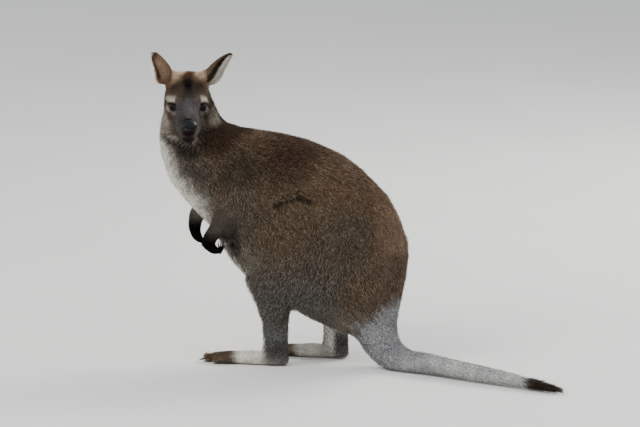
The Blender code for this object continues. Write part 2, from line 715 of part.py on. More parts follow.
def leg_pieces(body, name, place):
    """Foot with its claws, shank and thigh of one leg."""
    shift, y = place
    feet, claws = foot(place)
    for toe, shape in claws.items():
        feet = boolean(feet, shape(GAP), "DIFFERENCE")
        finished(f"{name}_{toe}_toe_claw", shape(0.0), "claw")
    finished(f"{name}_foot", feet, "pale_fur")
    axis = shift - SHANK_SET
    low = (axis - SHANK_FRONT, y - SHANK_INNER, -0.01)
    high = (axis + SHANK_BACK + 0.0015, y + SHANK_INNER, ANKLE_TOP + GAP)
    body = boolean(body, block(low, high), "DIFFERENCE")
    top = SHANK_TOP if y < 0 else SHANK_TOP - FAR_SHANK_LOWER
    shank, body = parted(body, box_region(
        (low[0], y - SHANK_INNER, 0.0), (axis + SHANK_BACK, y + SHANK_OUTER, top)))
    finished(f"{name}_shank", shank, "grey_fur")
    thigh, body = parted(body, thigh_region(place))
    finished(f"{name}_thigh", thigh, "grizzled_fur")
    return body


def arm_pieces(body, name, stations, shoulder, reach, palm):
    """Hand with its claws, forearm and upper arm of one side."""
    wrist, elbow = Vector(stations[-1]), Vector(stations[0])
    paw, claws = hand(wrist, reach, palm)
    lower = forearm(stations)
    paw = boolean(paw, forearm(stations, GAP), "DIFFERENCE")
    for digit, shape in claws.items():
        paw = boolean(paw, shape(GAP), "DIFFERENCE")
        finished(f"{name}_finger_claw_{digit}", shape(0.0), "claw")
    finished(f"{name}_hand", paw, "dark_fur")
    finished(f"{name}_forearm", lower, "grey_fur")
    body = boolean(body, forearm(stations, GAP), "DIFFERENCE")
    side = math.copysign(1, shoulder[1])
    outward = Vector((0, side * ARM_REGION_SET, 0))

    def region(grow):
        middle = (elbow + Vector(shoulder)) / 2
        points = [Vector(shoulder) + outward + (Vector(shoulder) - middle) * 0.4,
                  middle + outward, elbow + outward * 0.6]
        return limb(points, [radius + grow for radius in ARM_REGION_RADII], steps=1,
                    sides=12, domes=(0.8, 0.8), turns=(0.7, 1.2))

    upper, body = parted(body, region)
    finished(f"{name}_upper_arm", upper, "grizzled_fur")
    return body


def main():
    for item in list(bpy.data.objects):
        bpy.data.objects.remove(item)
    body = ear_pieces(flesh())
    head, body = parted(body, head_region)
    head_pieces(head)
    body = tail_pieces(body)
    body = leg_pieces(body, "left", LEFT_LEG)
    body = leg_pieces(body, "right", RIGHT_LEG)
    body = arm_pieces(body, "left", LEFT_ARM, LEFT_SHOULDER, *LEFT_HAND)
    body = arm_pieces(body, "right", RIGHT_ARM, RIGHT_SHOULDER, *RIGHT_HAND)
    neck, trunk = parted(body, lambda grow: beyond_plane(*NECK_PLANE, grow))
    finished("neck", neck, "grizzled_fur")
    finished("trunk", trunk, "grizzled_fur")
    stand_over_origin()


def stand_over_origin():
    """Moves every piece so that the whole stands centred over the origin."""
    pieces = [o for o in bpy.context.scene.objects if o.type == "MESH"]
    corners = np.array([o.matrix_world @ v.co for o in pieces for v in o.data.vertices])
    low, high = corners.min(0), corners.max(0)
    shift = Matrix.Translation((-(low[0] + high[0]) / 2, -(low[1] + high[1]) / 2, -low[2]))
    for piece in pieces:
        piece.data.transform(shift)


main()
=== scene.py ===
"""Looks of the standing wallaby: one skin, its coat, head, eyes and claws, built round the CAD frame.

Units are metres and +Z is up. Places are worked out in the maker's own layout, in which the body
was designed, and moved onto the CAD frame by SHIFT. The head has axes of its own, forward along
the muzzle, to its left, and up, from a point between the eyes.
"""
import math

import bmesh
import bpy
import numpy as np
from mathutils import Matrix, Vector


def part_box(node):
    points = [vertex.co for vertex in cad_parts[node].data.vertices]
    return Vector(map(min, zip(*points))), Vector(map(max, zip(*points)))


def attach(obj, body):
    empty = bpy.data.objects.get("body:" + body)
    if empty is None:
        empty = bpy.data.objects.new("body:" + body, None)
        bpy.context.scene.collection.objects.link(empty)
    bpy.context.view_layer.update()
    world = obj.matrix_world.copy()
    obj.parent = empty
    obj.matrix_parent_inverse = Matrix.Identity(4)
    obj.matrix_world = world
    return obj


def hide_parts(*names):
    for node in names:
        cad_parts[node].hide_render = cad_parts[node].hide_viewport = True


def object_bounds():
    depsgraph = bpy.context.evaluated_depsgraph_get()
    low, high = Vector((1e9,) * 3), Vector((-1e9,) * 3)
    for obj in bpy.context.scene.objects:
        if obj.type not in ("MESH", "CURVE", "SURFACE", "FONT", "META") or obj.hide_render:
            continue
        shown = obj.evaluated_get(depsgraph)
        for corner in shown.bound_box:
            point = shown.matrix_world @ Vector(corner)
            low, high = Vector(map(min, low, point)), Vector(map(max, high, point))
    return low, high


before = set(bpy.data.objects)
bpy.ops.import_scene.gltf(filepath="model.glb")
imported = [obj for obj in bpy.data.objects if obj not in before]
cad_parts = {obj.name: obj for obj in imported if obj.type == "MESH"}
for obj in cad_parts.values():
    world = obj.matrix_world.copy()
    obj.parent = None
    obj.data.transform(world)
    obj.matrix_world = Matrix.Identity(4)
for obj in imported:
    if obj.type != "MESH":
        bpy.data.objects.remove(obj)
CAD_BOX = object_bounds()

# --- Places and sizes ------------------------------------------------------------------------
SIDES = (("left", 1), ("right", -1))               # and their signs in head axes
EYE_LINE = np.array((-0.2456, -0.0889, 0.607))     # between the eyes, in the layout
HEAD_TURN = math.radians(16)
HEAD_PITCH = math.radians(20)
EYE_RADIUS = 0.0122
EYE_SPOT = np.array((-0.0055, 0.0300, -0.0035))    # the left eye's middle, in head axes
FACE_MIDDLE = np.array((0.010, 0, -0.010))
MUZZLE_END = np.array((0.085, 0, -0.006))
NOSE_MIDDLE = np.array((0.0800, 0, -0.0052))
NOSE_SIZES = np.array((0.0152, 0.0193, 0.0114))
EAR_FOOT = np.array((-0.064, 0.038, 0.038))        # flesh that fills the left ear's socket
EAR_FOOT_SIZES = (0.024, 0.022, 0.024)
LEGS = {"left": (0.000, -0.071), "right": (0.1165, 0.046)}    # how far back and across each stands

HEAD_FORWARD = Vector((math.cos(HEAD_PITCH) * math.sin(HEAD_TURN),
                       -math.cos(HEAD_PITCH) * math.cos(HEAD_TURN), -math.sin(HEAD_PITCH)))
HEAD_LEFT = Vector((math.cos(HEAD_TURN), math.sin(HEAD_TURN), 0))
HEAD_UP = HEAD_FORWARD.cross(HEAD_LEFT)
HEAD_AXES = np.array((HEAD_FORWARD, HEAD_LEFT, HEAD_UP))

eye_low, eye_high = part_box("left_eye")
SHIFT = np.array((eye_low + eye_high) / 2) - (EYE_LINE + EYE_SPOT @ HEAD_AXES)

FLESH = ["head", "neck", "trunk", "tail_root", "tail_middle", "tail_tip"]
FLESH += [f"{side}_{part}" for side, _ in SIDES
          for part in ("upper_arm", "forearm", "hand", "thigh", "shank", "foot")]

SKIN_VOXEL = 0.0023          # grid on which the skin is merged
SKIN_FACES = 90000           # triangles of the skin before its face is made finer
GRID_ROUNDS = 3              # rounds of softening, for the steps of the grid
FLESH_ROUNDS = 11            # for all but hands and feet
TRUNK_ROUNDS = 70            # for the cuts between the trunk's solids
INNER_ROUNDS = 4             # after the skin has moved in
EYE_MARGIN = (0.014, 0.030)  # off the eye's middle, where the coat is thinnest and has its depth
NOSE_MARGIN = (0.016, 0.035)       # and off the muzzle's end
FINE_REACH = 0.092           # how far off its middle the face is made finer
FINE_BACK = -0.050           # and how far back along the head
HEAD_EDGE = (0.095, 0.120)   # off the face's middle, where its markings weaken and end
CORNER_GAP = 1e-6            # corners of the CAD's loose triangles that are one point
POLE_GAP = 2e-5              # points round a pole that are one point
SHARE_STEPS = 20             # steps in which a vertex group holds its shares


def head_point(forward, left, up):
    """A point of the head's own axes, in the layout."""
    return tuple(np.array((forward, left, up)) @ HEAD_AXES + EYE_LINE)


def in_head(points):
    """Points of the frame in the head's own axes."""
    return (points - SHIFT - EYE_LINE) @ HEAD_AXES.T


def from_head(points):
    """Points given in the head's own axes, in the frame."""
    return np.asarray(points, float) @ HEAD_AXES + EYE_LINE + SHIFT


def unit(vectors):
    """Vectors at length one."""
    return vectors / np.maximum(np.linalg.norm(vectors, axis=-1, keepdims=True), 1e-9)


def ramp(value, low, high):
    """0 below low, 1 above high, and a smooth S between them: 3t^2 - 2t^3."""
    share = np.clip((value - low) / (high - low), 0.0, 1.0)
    return share * share * (3 - 2 * share)


def hump(value, middle, width):
    """1 at the middle, falling off on both sides like a bell: exp(-(d / width)^2)."""
    return np.exp(-((value - middle) / width) ** 2)


def waves(points, size, seed):
    """Smooth noise from -1 to 1: a sum of sines along random directions, a few sizes apart."""
    dice = np.random.default_rng(seed)
    total = np.zeros(len(points))
    for _ in range(10):
        way = unit(dice.normal(size=3)) * 2 * math.pi / size * dice.uniform(0.6, 1.7)
        total += np.sin(points @ way + dice.uniform(0, 2 * math.pi))
    return total / 4.0


def folded(points):
    """Points with both sides laid on the side of positive y."""
    return np.column_stack((points[:, 0], abs(points[:, 1]), points[:, 2]))


EARS = {                          # root, tip, and the way the cup opens, in head axes
    "left": ((-0.062, 0.038, 0.032), (-0.093, 0.1025, 0.088), (0.52, 0.85, -0.20)),
    "right": ((-0.060, -0.040, 0.034), (-0.052, -0.0825, 0.111), (-0.45, -0.90, -0.25)),
}

# --- Bones: the lines that the coat follows --------------------------------------------------
HEAD_BONES = {               # in head axes, each from where its hair starts
    "muzzle": ((0.092, 0, -0.012), (0.040, 0, -0.008)),
    "face": ((0.040, 0, -0.006), (-0.020, 0, 0.012)),
    "crown": ((-0.020, 0, 0.014), (-0.080, 0, 0.016)),
    "jaw": ((0.068, 0, -0.050), (-0.040, 0, -0.040)),
}
BODY_BONES = {               # in the layout
    "nape": (head_point(-0.080, 0, 0.012), (-0.180, -0.014, 0.560), (-0.120, -0.012, 0.500)),
    "throat": (head_point(-0.030, 0, -0.060), (-0.300, -0.014, 0.520), (-0.280, -0.010, 0.430)),
    "chest": ((-0.280, -0.010, 0.430), (-0.200, 0.000, 0.320), (-0.150, 0.000, 0.250)),
    "back": ((-0.120, -0.012, 0.500), (0.000, -0.008, 0.470), (0.110, -0.002, 0.430),
             (0.180, 0.000, 0.350), (0.215, 0.000, 0.260), (0.214, -0.002, 0.200)),
    "flank": ((-0.120, 0.000, 0.440), (-0.020, 0.000, 0.370), (0.080, 0.000, 0.300),
              (0.150, 0.000, 0.220)),
    "belly": ((-0.150, 0.000, 0.250), (-0.060, 0.000, 0.190), (0.060, 0.000, 0.130),
              (0.140, 0.000, 0.105)),
    "tail_base": ((0.208, -0.004, 0.165), (0.250, -0.030, 0.075), (0.300, -0.070, 0.036)),
    "tail_length": ((0.300, -0.070, 0.036), (0.414, -0.126, 0.0252), (0.518, -0.170, 0.0215),
                    (0.570, -0.191, 0.018)),
    "tail_end": ((0.588, -0.198, 0.017), (0.690, -0.240, 0.009)),
}
ARMS = {                     # shoulder, and the upper arm's end with the forearm's points
    "left": ((-0.118, -0.060, 0.440), (-0.120, -0.080, 0.392), (-0.156, -0.079, 0.346),
             (-0.184, -0.082, 0.313), (-0.2020, -0.085, 0.2870)),
    "right": ((-0.150, 0.048, 0.440), (-0.208, 0.062, 0.385), (-0.243, 0.056, 0.352),
              (-0.264, 0.048, 0.325), (-0.267, 0.040, 0.296)),
}
HANDS = {                    # the way of the palm's length, and of the fingers beyond it
    "left": ((0.62, -0.04, -0.78), (0.78, 0.02, 0.62)),
    "right": ((0.30, -0.16, -0.95), (0.90, 0.10, 0.30)),
}
PALM_LONG, FINGERS_LONG = 0.034, 0.028

COAT_SIZES = {               # flesh radius, coat depth, hair length and hair width by each bone
    "muzzle": (0.026, 0.0018, 0.0055, 0.00080), "face": (0.040, 0.0030, 0.0080, 0.00090),
    "crown": (0.050, 0.0050, 0.0120, 0.0010), "jaw": (0.032, 0.0032, 0.0090, 0.00095),
    "nape": (0.060, 0.0085, 0.0180, 0.0014), "throat": (0.050, 0.0100, 0.0210, 0.0015),
    "chest": (0.070, 0.0110, 0.0220, 0.0016), "back": (0.080, 0.0105, 0.0220, 0.0016),
    "flank": (0.110, 0.0105, 0.0220, 0.0016), "belly": (0.070, 0.0100, 0.0220, 0.0017),
    "tail_base": (0.045, 0.0080, 0.0190, 0.0015), "tail_length": (0.022, 0.0050, 0.0145, 0.0013),
    "tail_end": (0.021, 0.0045, 0.0180, 0.0012), "ear_base": (0.024, 0.0040, 0.0125, 0.0010),
    "upper_arm": (0.040, 0.0080, 0.0180, 0.0014), "forearm": (0.024, 0.0040, 0.0105, 0.0011),
    "hand": (0.0185, 0.0016, 0.0060, 0.0009), "thigh": (0.060, 0.0105, 0.0210, 0.0016),
    "shank": (0.028, 0.0055, 0.0135, 0.0012), "foot": (0.022, 0.0030, 0.0090, 0.0010),
}


def bones():
    """Lines of the whole body in the layout, each from where its hair starts."""
    found = {name: [head_point(*point) for point in line] for name, line in HEAD_BONES.items()}
    found.update(BODY_BONES)
    for side, sign in SIDES:
        root, tip = (np.array(point) for point in EARS[side][:2])
        found[f"{side}_ear_base"] = (head_point(-0.048, sign * 0.018, 0.030), head_point(*root),
                                     head_point(*(root + 0.3 * (tip - root))))
    for side, (shift, y) in LEGS.items():
        out = math.copysign(1, y)
        shoulder, *forearm = ARMS[side]
        along, beyond = (unit(np.array(way)) for way in HANDS[side])
        knuckles = np.array(forearm[-1]) + along * PALM_LONG
        limbs = {"upper_arm": (shoulder, forearm[0]), "forearm": forearm,
                 "hand": (forearm[-1], knuckles, knuckles + beyond * FINGERS_LONG),
                 "thigh": ((0.150 + 0.10 * shift, out * 0.110, 0.330),
                           (0.060 + 0.60 * shift, out * 0.120, 0.230),
                           (-0.050 + shift, y + out * 0.010, 0.165)),
                 "shank": ((-0.044 + shift, y, 0.140), (-0.041 + shift, y, 0.030)),
                 "foot": ((-0.040 + shift, y, 0.022), (-0.200 + shift, y, 0.012))}
        for name, line in limbs.items():
            found[f"{side}_{name}"] = line
    return {name: np.array(line, float) for name, line in found.items()}


SLIM_LIMBS = ("forearm", "hand", "shank", "foot")
TRUNK_KINDS = ("throat", "chest", "back", "flank", "belly")
MARKED_TRUNK = ("nape", *TRUNK_KINDS)


def bone_kind(name):
    """A bone's name without its side."""
    return name.replace("left_", "").replace("right_", "")


BONES = bones()
BONE_NAMES = list(BONES)
KINDS = np.array([bone_kind(name) for name in BONE_NAMES])
BONE_RADII, COAT_DEPTHS, HAIR_LENGTHS, HAIR_WIDTHS = np.array([COAT_SIZES[k] for k in KINDS]).T


def share_of(shares, *kinds):
    """Share of some kinds of bone in each place."""
    return shares[:, np.isin(KINDS, kinds)].sum(1)


def along_line(points, line):
    """(distance to the line, direction of its nearest stretch, share of its length reached).

    On each stretch the nearest point is the foot of the perpendicular, kept between its ends.
    """
    line = np.array(line, float)
    steps = np.linalg.norm(np.diff(line, axis=0), axis=1)
    before = np.concatenate(((0,), np.cumsum(steps)))
    best = np.full(len(points), np.inf)
    way = np.zeros((len(points), 3))
    reached = np.zeros(len(points))
    for i, step in enumerate(steps):
        course = (line[i + 1] - line[i]) / step
        at = np.clip((points - line[i]) @ course, 0, step)
        off = np.linalg.norm(points - line[i] - at[:, None] * course, axis=1)
        closer = off < best
        best = np.where(closer, off, best)
        way[closer] = course
        reached = np.where(closer, (before[i] + at) / before[-1], reached)
    return best, way, reached


def bone_shares(places):
    """Share of each bone in each place of the layout, and the lie of the hair there.

    A bone counts by the sixth power of its flesh's radius over the distance to it. A slim limb
    counts only within its own flesh, and the trunk counts little there.
    """
    shares = np.empty((len(places), len(BONE_NAMES)))
    lies = np.zeros((len(places), 3))
    in_limb = np.zeros(len(places))
    ways = []
    for i, line in enumerate(BONES.values()):
        off, way, _ = along_line(places, line)
        ways.append(way)
        shares[:, i] = (BONE_RADII[i] / (off + 0.004)) ** 6
        if KINDS[i] in SLIM_LIMBS:
            off = off / BONE_RADII[i]
            shares[:, i] *= 1 - ramp(off, 1.35, 1.9)
            in_limb = np.maximum(in_limb, 1 - ramp(off, 1.1, 1.7))
    shares *= 1 - 0.98 * in_limb[:, None] * np.isin(KINDS, TRUNK_KINDS)
    shares /= shares.sum(1, keepdims=True)
    for share, way in zip(shares.T, ways):
        lies += share[:, None] * way
    return shares, lies


# --- Meshes ----------------------------------------------------------------------------------
def linked(name, data):
    """A new object at the origin that shows the data."""
    piece = bpy.data.objects.new(name, data)
    bpy.context.scene.collection.objects.link(piece)
    return piece


def array_mesh(name, points, faces, colours=None, values=None, uvs=None, smooth=True):
    """A mesh object at the origin from whole arrays. colours, values and uvs are per point."""
    mesh = bpy.data.meshes.new(name)
    mesh.vertices.add(len(points))
    mesh.vertices.foreach_set("co", np.ascontiguousarray(points, np.float32).ravel())
    corners = np.ascontiguousarray(faces, np.int32).ravel()
    mesh.loops.add(len(corners))
    mesh.loops.foreach_set("vertex_index", corners)
    mesh.polygons.add(len(faces))
    starts = np.arange(0, len(corners), faces.shape[1], dtype=np.int32)
    mesh.polygons.foreach_set("loop_start", starts)
    mesh.update(calc_edges=True)
    if smooth:
        mesh.shade_smooth()
    set_points(mesh, colours or {}, values or {})
    if uvs is not None:
        layer = mesh.uv_layers.new(name="OFBake")
        layer.data.foreach_set("uv", np.ascontiguousarray(uvs[corners], np.float32).ravel())
    return linked(name, mesh)


def set_points(mesh, colours, values):
    """Named colours and single values on the mesh's points."""
    for name, given in colours.items():
        layer = mesh.attributes.new(name, "FLOAT_COLOR", "POINT")
        full = np.ones((len(mesh.vertices), 4), np.float32)
        full[:, :3] = given
        layer.data.foreach_set("color", full.ravel())
    for name, given in values.items():
        layer = mesh.attributes.new(name, "FLOAT", "POINT")
        layer.data.foreach_set("value", np.asarray(given, np.float32).ravel())


def facts_of(items, fact, kind):
    """A fact of three numbers from each of a mesh's items, one row for each."""
    found = np.empty(len(items) * 3, kind)
    items.foreach_get(fact, found)
    return found.reshape(-1, 3)


def points_of(mesh):
    """Places of the mesh's points."""
    return facts_of(mesh.vertices, "co", np.float32).astype(float)


def normals_of(mesh):
    """Normals at the mesh's points."""
    return facts_of(mesh.vertex_normals, "vector", np.float32).astype(float)


def triangles_of(mesh):
    """Point numbers of the mesh's triangles."""
    mesh.calc_loop_triangles()
    return facts_of(mesh.loop_triangles, "vertices", np.int32)


def put_points(mesh, points):
    """Moves the mesh's points to new places."""
    mesh.vertices.foreach_set("co", np.ascontiguousarray(points, np.float32).ravel())
    mesh.update()


def applied(piece):
    """The piece, with its mesh replaced by what its modifiers make of it."""
    graph = bpy.context.evaluated_depsgraph_get()
    mesh = bpy.data.meshes.new_from_object(piece.evaluated_get(graph))
    old = piece.data
    piece.modifiers.clear()
    piece.vertex_groups.clear()
    piece.data = mesh
    bpy.data.meshes.remove(old)
    return piece


def opened(meshes, gap=0.0):
    """Meshes together as one form, with points closer than the gap joined."""
    form = bmesh.new()
    for mesh in meshes:
        form.from_mesh(mesh)
    if gap:
        bmesh.ops.remove_doubles(form, verts=form.verts, dist=gap)
    return form


def written(form, mesh):
    """The mesh, with the form written into it and shaded smooth."""
    form.to_mesh(mesh)
    form.free()
    mesh.shade_smooth()
    return mesh


def outwards_facing(piece):
    """The piece with doubled points joined, holes filled and all faces turned outwards."""
    form = opened([piece.data], POLE_GAP)
    bmesh.ops.holes_fill(form, edges=[e for e in form.edges if e.is_boundary])
    bmesh.ops.recalc_face_normals(form, faces=form.faces)
    written(form, piece.data)
    return piece


def head_piece(name, points, faces, values=None):
    """A closed piece from points in head axes, with its faces turned outwards."""
    return outwards_facing(array_mesh(name, from_head(points), faces, None, values))


def joined_nodes(nodes):
    """One form of the CAD nodes' loose triangles, joined where they meet."""
    return opened([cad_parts[node].data for node in nodes], CORNER_GAP)


def weigh(piece, name, shares):
    """Vertex group from one share for each point, kept to twentieths."""
    group = piece.vertex_groups.new(name=name)
    steps = np.round(np.clip(shares, 0, 1) * SHARE_STEPS).astype(int)
    for step in range(1, SHARE_STEPS + 1):
        at = np.nonzero(steps == step)[0]
        if len(at):
            group.add(at.tolist(), step / SHARE_STEPS, "REPLACE")


def soften(piece, rounds, shares=None):
    """The piece after rounds of softening, in which each point moves to its neighbours' middle."""
    step = piece.modifiers.new("soften", "SMOOTH")
    step.factor = 0.5
    step.iterations = rounds
    if shares is not None:
        weigh(piece, "soft", shares)
        step.vertex_group = "soft"
    return applied(piece)


def turns(count):
    """Angles at even steps round a circle."""
    return np.linspace(0, 2 * math.pi, count, endpoint=False)


def grid_quads(rows, columns, ring=False):
    """Faces of a grid of points, closed round its columns, and round its rows too for a ring."""
    row, column = np.meshgrid(np.arange(rows if ring else rows - 1), np.arange(columns),
                              indexing="ij")
    ahead, beside = (row + 1) % rows, (column + 1) % columns
    return np.stack((row * columns + column, row * columns + beside,
                     ahead * columns + beside, ahead * columns + column),
                    axis=-1).reshape(-1, 4)


def halved(quads):
    """Two triangles from each face of four corners."""
    return np.vstack((quads[:, :3], quads[:, (0, 2, 3)]))


def round_ways(rows, columns, first, last):
    """Polar grid of directions, (cos a, sin a cos b, sin a sin b), and the angle a of each.

    a runs from the first to the last angle over the rows, and b goes round over the columns.
    """
    tilt, turn = np.meshgrid(np.linspace(first, last, rows), turns(columns), indexing="ij")
    ways = np.stack((np.cos(tilt), np.sin(tilt) * np.cos(turn), np.sin(tilt) * np.sin(turn)),
                    axis=-1)
    return ways.reshape(-1, 3), tilt.ravel()


def tube_points(path, beside, over, wide, high, sides):
    """A ring of points about each point of a path: wide along beside and high along over."""
    ring = turns(sides)[None, :, None]
    return (path[:, None] + beside[:, None] * (np.cos(ring) * wide[:, None, None])
            + over[:, None] * (np.sin(ring) * high[:, None, None])).reshape(-1, 3)


def carried(values, faces, corners):
    """Values of a surface's points at spots on its faces, by the weights of each spot's corners."""
    rows = values.reshape(len(values), -1)
    return (rows[faces] * corners[..., None]).sum(1).reshape(-1, *values.shape[1:])


# --- Skin ------------------------------------------------------------------------------------
def form_ball(form, centre, radii):
    """Adds an ellipsoid in the head's axes to a form."""
    turn = Matrix(HEAD_AXES.T.tolist()).to_4x4()
    place = Matrix.Translation(centre) @ turn @ Matrix.Diagonal((*radii, 1))
    bmesh.ops.create_uvsphere(form, u_segments=24, v_segments=16, radius=1, matrix=place)


def flesh_hull():
    """The CAD's flesh as one closed surface on a fine grid, with slots and sockets filled."""
    form = joined_nodes(FLESH)
    for side in (1, -1):
        mirror = np.array((1, side, 1))
        form_ball(form, from_head(EAR_FOOT * mirror), EAR_FOOT_SIZES)
        form_ball(form, from_head(EYE_SPOT * mirror), (EYE_RADIUS,) * 3)
    form_ball(form, from_head(NOSE_MIDDLE), NOSE_SIZES)
    skin = linked("skin", written(form, bpy.data.meshes.new("skin")))
    merge = skin.modifiers.new("merge", "REMESH")
    merge.mode = "VOXEL"
    merge.voxel_size = SKIN_VOXEL
    soften(applied(skin), GRID_ROUNDS)
    shares, _ = bone_shares(points_of(skin.data) - SHIFT)
    return soften(skin, FLESH_ROUNDS, 1 - share_of(shares, "hand", "foot"))


def off_face(points):
    """Distance from the middle of the face."""
    return np.linalg.norm(in_head(points) - FACE_MIDDLE, axis=1)


def coat_depth(shares, head):
    """How far the skin lies inside the coat's outline: by bones, least round eyes and nose."""
    depth = shares @ COAT_DEPTHS
    for side in (1, -1):
        off = np.linalg.norm(head - EYE_SPOT * (1, side, 1), axis=1)
        depth *= 0.15 + 0.85 * ramp(off, *EYE_MARGIN)
    off = np.linalg.norm(head - MUZZLE_END, axis=1)
    return depth * (0.3 + 0.7 * ramp(off, *NOSE_MARGIN))


def thinned(skin):
    """The skin with fewer faces, most of them taken away from the face."""
    weigh(skin, "plain", 0.35 + 0.65 * ramp(off_face(points_of(skin.data)), 0.110, 0.140))
    thin = skin.modifiers.new("thin", "DECIMATE")
    thin.ratio = SKIN_FACES / (2 * len(skin.data.polygons))
    thin.vertex_group = "plain"
    thin.vertex_group_factor = 1.0
    return applied(skin)


def finer_face(skin):
    """The skin with each edge of the face halved, for the lids and the lips."""
    points = points_of(skin.data)
    fine = (off_face(points) < FINE_REACH) & (in_head(points)[:, 0] > FINE_BACK)
    form = opened([skin.data])
    chosen = [edge for edge in form.edges
              if fine[edge.verts[0].index] and fine[edge.verts[1].index]]
    bmesh.ops.subdivide_edges(form, edges=chosen, cuts=1, smooth=0.0)
    bmesh.ops.triangulate(form, faces=[face for face in form.faces if len(face.verts) > 3])
    written(form, skin.data)
    return skin


def make_skin():
    """Hull, softened on the trunk, thinned, moved in by the coat's depth, and finer on the face."""
    skin = flesh_hull()
    points = points_of(skin.data)
    height = (points - SHIFT)[:, 2]
    soften(skin, TRUNK_ROUNDS,
           np.minimum(ramp(off_face(points), 0.095, 0.150), ramp(height, 0.120, 0.170)))
    thinned(skin)
    points = points_of(skin.data)
    shares, _ = bone_shares(points - SHIFT)
    inwards = normals_of(skin.data) * coat_depth(shares, in_head(points))[:, None]
    put_points(skin.data, points - inwards)
    soften(skin, INNER_ROUNDS, 0.2 + 0.8 * ramp(off_face(points), 0.100, 0.130))
    return finer_face(skin)


# --- Head ------------------------------------------------------------------------------------
EYE_AXIS = unit(np.array((0.74, 0.67, 0.08)))      # where the left eye looks, in head axes
LID_WAY = np.array((-0.67, 0.74, 0.10))            # the way of its lids, from front to back
LID_LONG = 0.0114                                  # half length of the opening
UPPER_LID = 0.0058                                 # height of the lids at their middle
LOWER_LID = 0.0053
LID_LEAN = 0.0010                                  # how much higher the opening is behind
LID_RADIUS = EYE_RADIUS + 0.0014                   # of the lids' own sphere
EYE_DEEP = EYE_RADIUS - 0.0030                     # the skin inside the opening
CREASE = (0.0098, 0.0011, 0.0013)                  # height, width and depth of the upper fold
POUCH = (-0.0092, 0.0013, 0.0007)                  # and of the lower one
LID_EDGE = 0.0012                                  # width of the raised edge

# (push forward, aside and up; height off the mouth's line, width; where it starts and is full)
MOUTH_FORMS = (
    ((0, -0.0022, 0), 0.0, 0.0013, (0.016, 0.030)),            # the mouth at the side
    ((-0.0024, 0, 0), 0.0, 0.0013, (0.066, 0.078)),            # and in front
    ((0, 0.0012, 0), 0.0042, 0.0030, (0.018, 0.036)),          # upper lip
    ((0, 0.0007, 0), -0.0040, 0.0030, (0.030, 0.050)),         # lower lip
)
# (push; middle and width forward, aside and up, or None; the part of the face it keeps to)
FACE_FORMS = (
    ((0, 0.0014, 0), (0.062, 0.013), None, (-0.0240, 0.0085), "sides"),               # pads
    ((-0.0018, 0, 0), None, (0, 0.0011), (-0.0265, 0.0065), "front"),                 # cleft
    ((0, 0.0008, 0.0014), (-0.004, 0.014), (0.0285, 0.0080), (0.0165, 0.0055), "all"),  # brow
    ((0, 0, -0.0012), (0.030, 0.022), (0, 0.007), None, "top"),                       # bridge
    ((0, -0.0016, 0), (0.020, 0.014), (0.0265, 0.0045), (-0.0080, 0.0060), "all"),    # tear line
)


def eye_frame(side):
    """(centre, outwards, backwards along the lids, up) of an eye, in head axes."""
    centre = EYE_SPOT * (1, side, 1)
    outward = EYE_AXIS * (1, side, 1)
    back = unit(LID_WAY * (1, side, 1))
    back = unit(back - outward * (back @ outward))
    up = np.cross(outward, back) * -side
    return centre, outward, back, up


def from_eye(head, side):
    """How far places lie outwards, backwards and up from an eye's middle, and their distance."""
    centre, outward, back, up = eye_frame(side)
    off = head - centre
    return off @ outward, off @ back, off @ up, np.linalg.norm(off, axis=1)


def lid_gap(across):
    """(lower, upper) edge of the lids' opening over its length, -1 in front to 1 behind.

    Each edge is its lid's height times a power of 1 - across^2, and leans up with across.
    """
    bow = np.clip(1 - across ** 2, 0, 1)
    lean = LID_LEAN * across
    return -LOWER_LID * bow ** 0.8 + lean, UPPER_LID * bow ** 0.6 + lean


def sculpt_eye(head, side):
    """Lids: skin drawn over an eyeball, with an almond opening that lets the ball through.

    The skin's distance from the ball's middle is drawn to the lids' sphere, less and less with
    the way from the opening, and falls inside the ball within it. Two bell-shaped folds lie
    above and below, the edge is raised, and the inner corner runs forward and down as a fold.
    """
    centre, outward, _, _ = eye_frame(side)
    w, u, v, near = from_eye(head, side)
    facing = ramp(w / np.maximum(near, 1e-6), 0.05, 0.35)
    low, high = lid_gap(u / LID_LONG)
    within = np.minimum(v - low, high - v)
    outside = np.hypot(np.maximum(abs(u) - LID_LONG, 0), np.maximum(-within, 0))
    close = facing * (1 - ramp(near, LID_RADIUS + 0.006, LID_RADIUS + 0.016))
    close *= 0.30 * (1 - ramp(outside, 0.004, 0.016)) + 0.65 * (1 - ramp(outside, 0.001, 0.007))
    reach = np.maximum(near, LID_RADIUS) * (1 - close) + LID_RADIUS * close
    height, width, depth = CREASE
    crease = hump(v - LID_LEAN * u / LID_LONG, height, width) * ramp(-abs(u), -0.0135, -0.008)
    reach -= depth * crease * facing
    height, width, depth = POUCH
    reach -= depth * hump(v, height, width) * ramp(-abs(u), -0.0125, -0.007) * facing
    edge = hump(within, -LID_EDGE, LID_EDGE) * (abs(u) < LID_LONG * 1.1)
    reach += 0.5 * LID_EDGE * edge * facing * (near < LID_RADIUS + 0.004)
    inside = ramp(within, -0.0001, 0.0006) * ramp(-abs(u), -LID_LONG, -LID_LONG + 0.0012)
    inside *= (near < LID_RADIUS + 0.010) & (w > 0)
    reach = reach * (1 - inside) + EYE_DEEP * inside
    head = centre + (head - centre) * (reach / np.maximum(near, 1e-6))[:, None]
    w, u, v, _ = from_eye(head, side)
    fold = hump(u, -0.0142, 0.0026) * hump(v, -0.0032 - 0.35 * (-0.0120 - u), 0.0013)
    return head - outward * (0.0010 * fold * (w > -0.004))[:, None]


def mouth_height(forward):
    """Height of the mouth's line over the length of the muzzle: a slow rise, curled up behind."""
    return -0.0400 - 0.02 * (forward - 0.070) + 0.0060 * ramp(-forward, -0.034, -0.014)


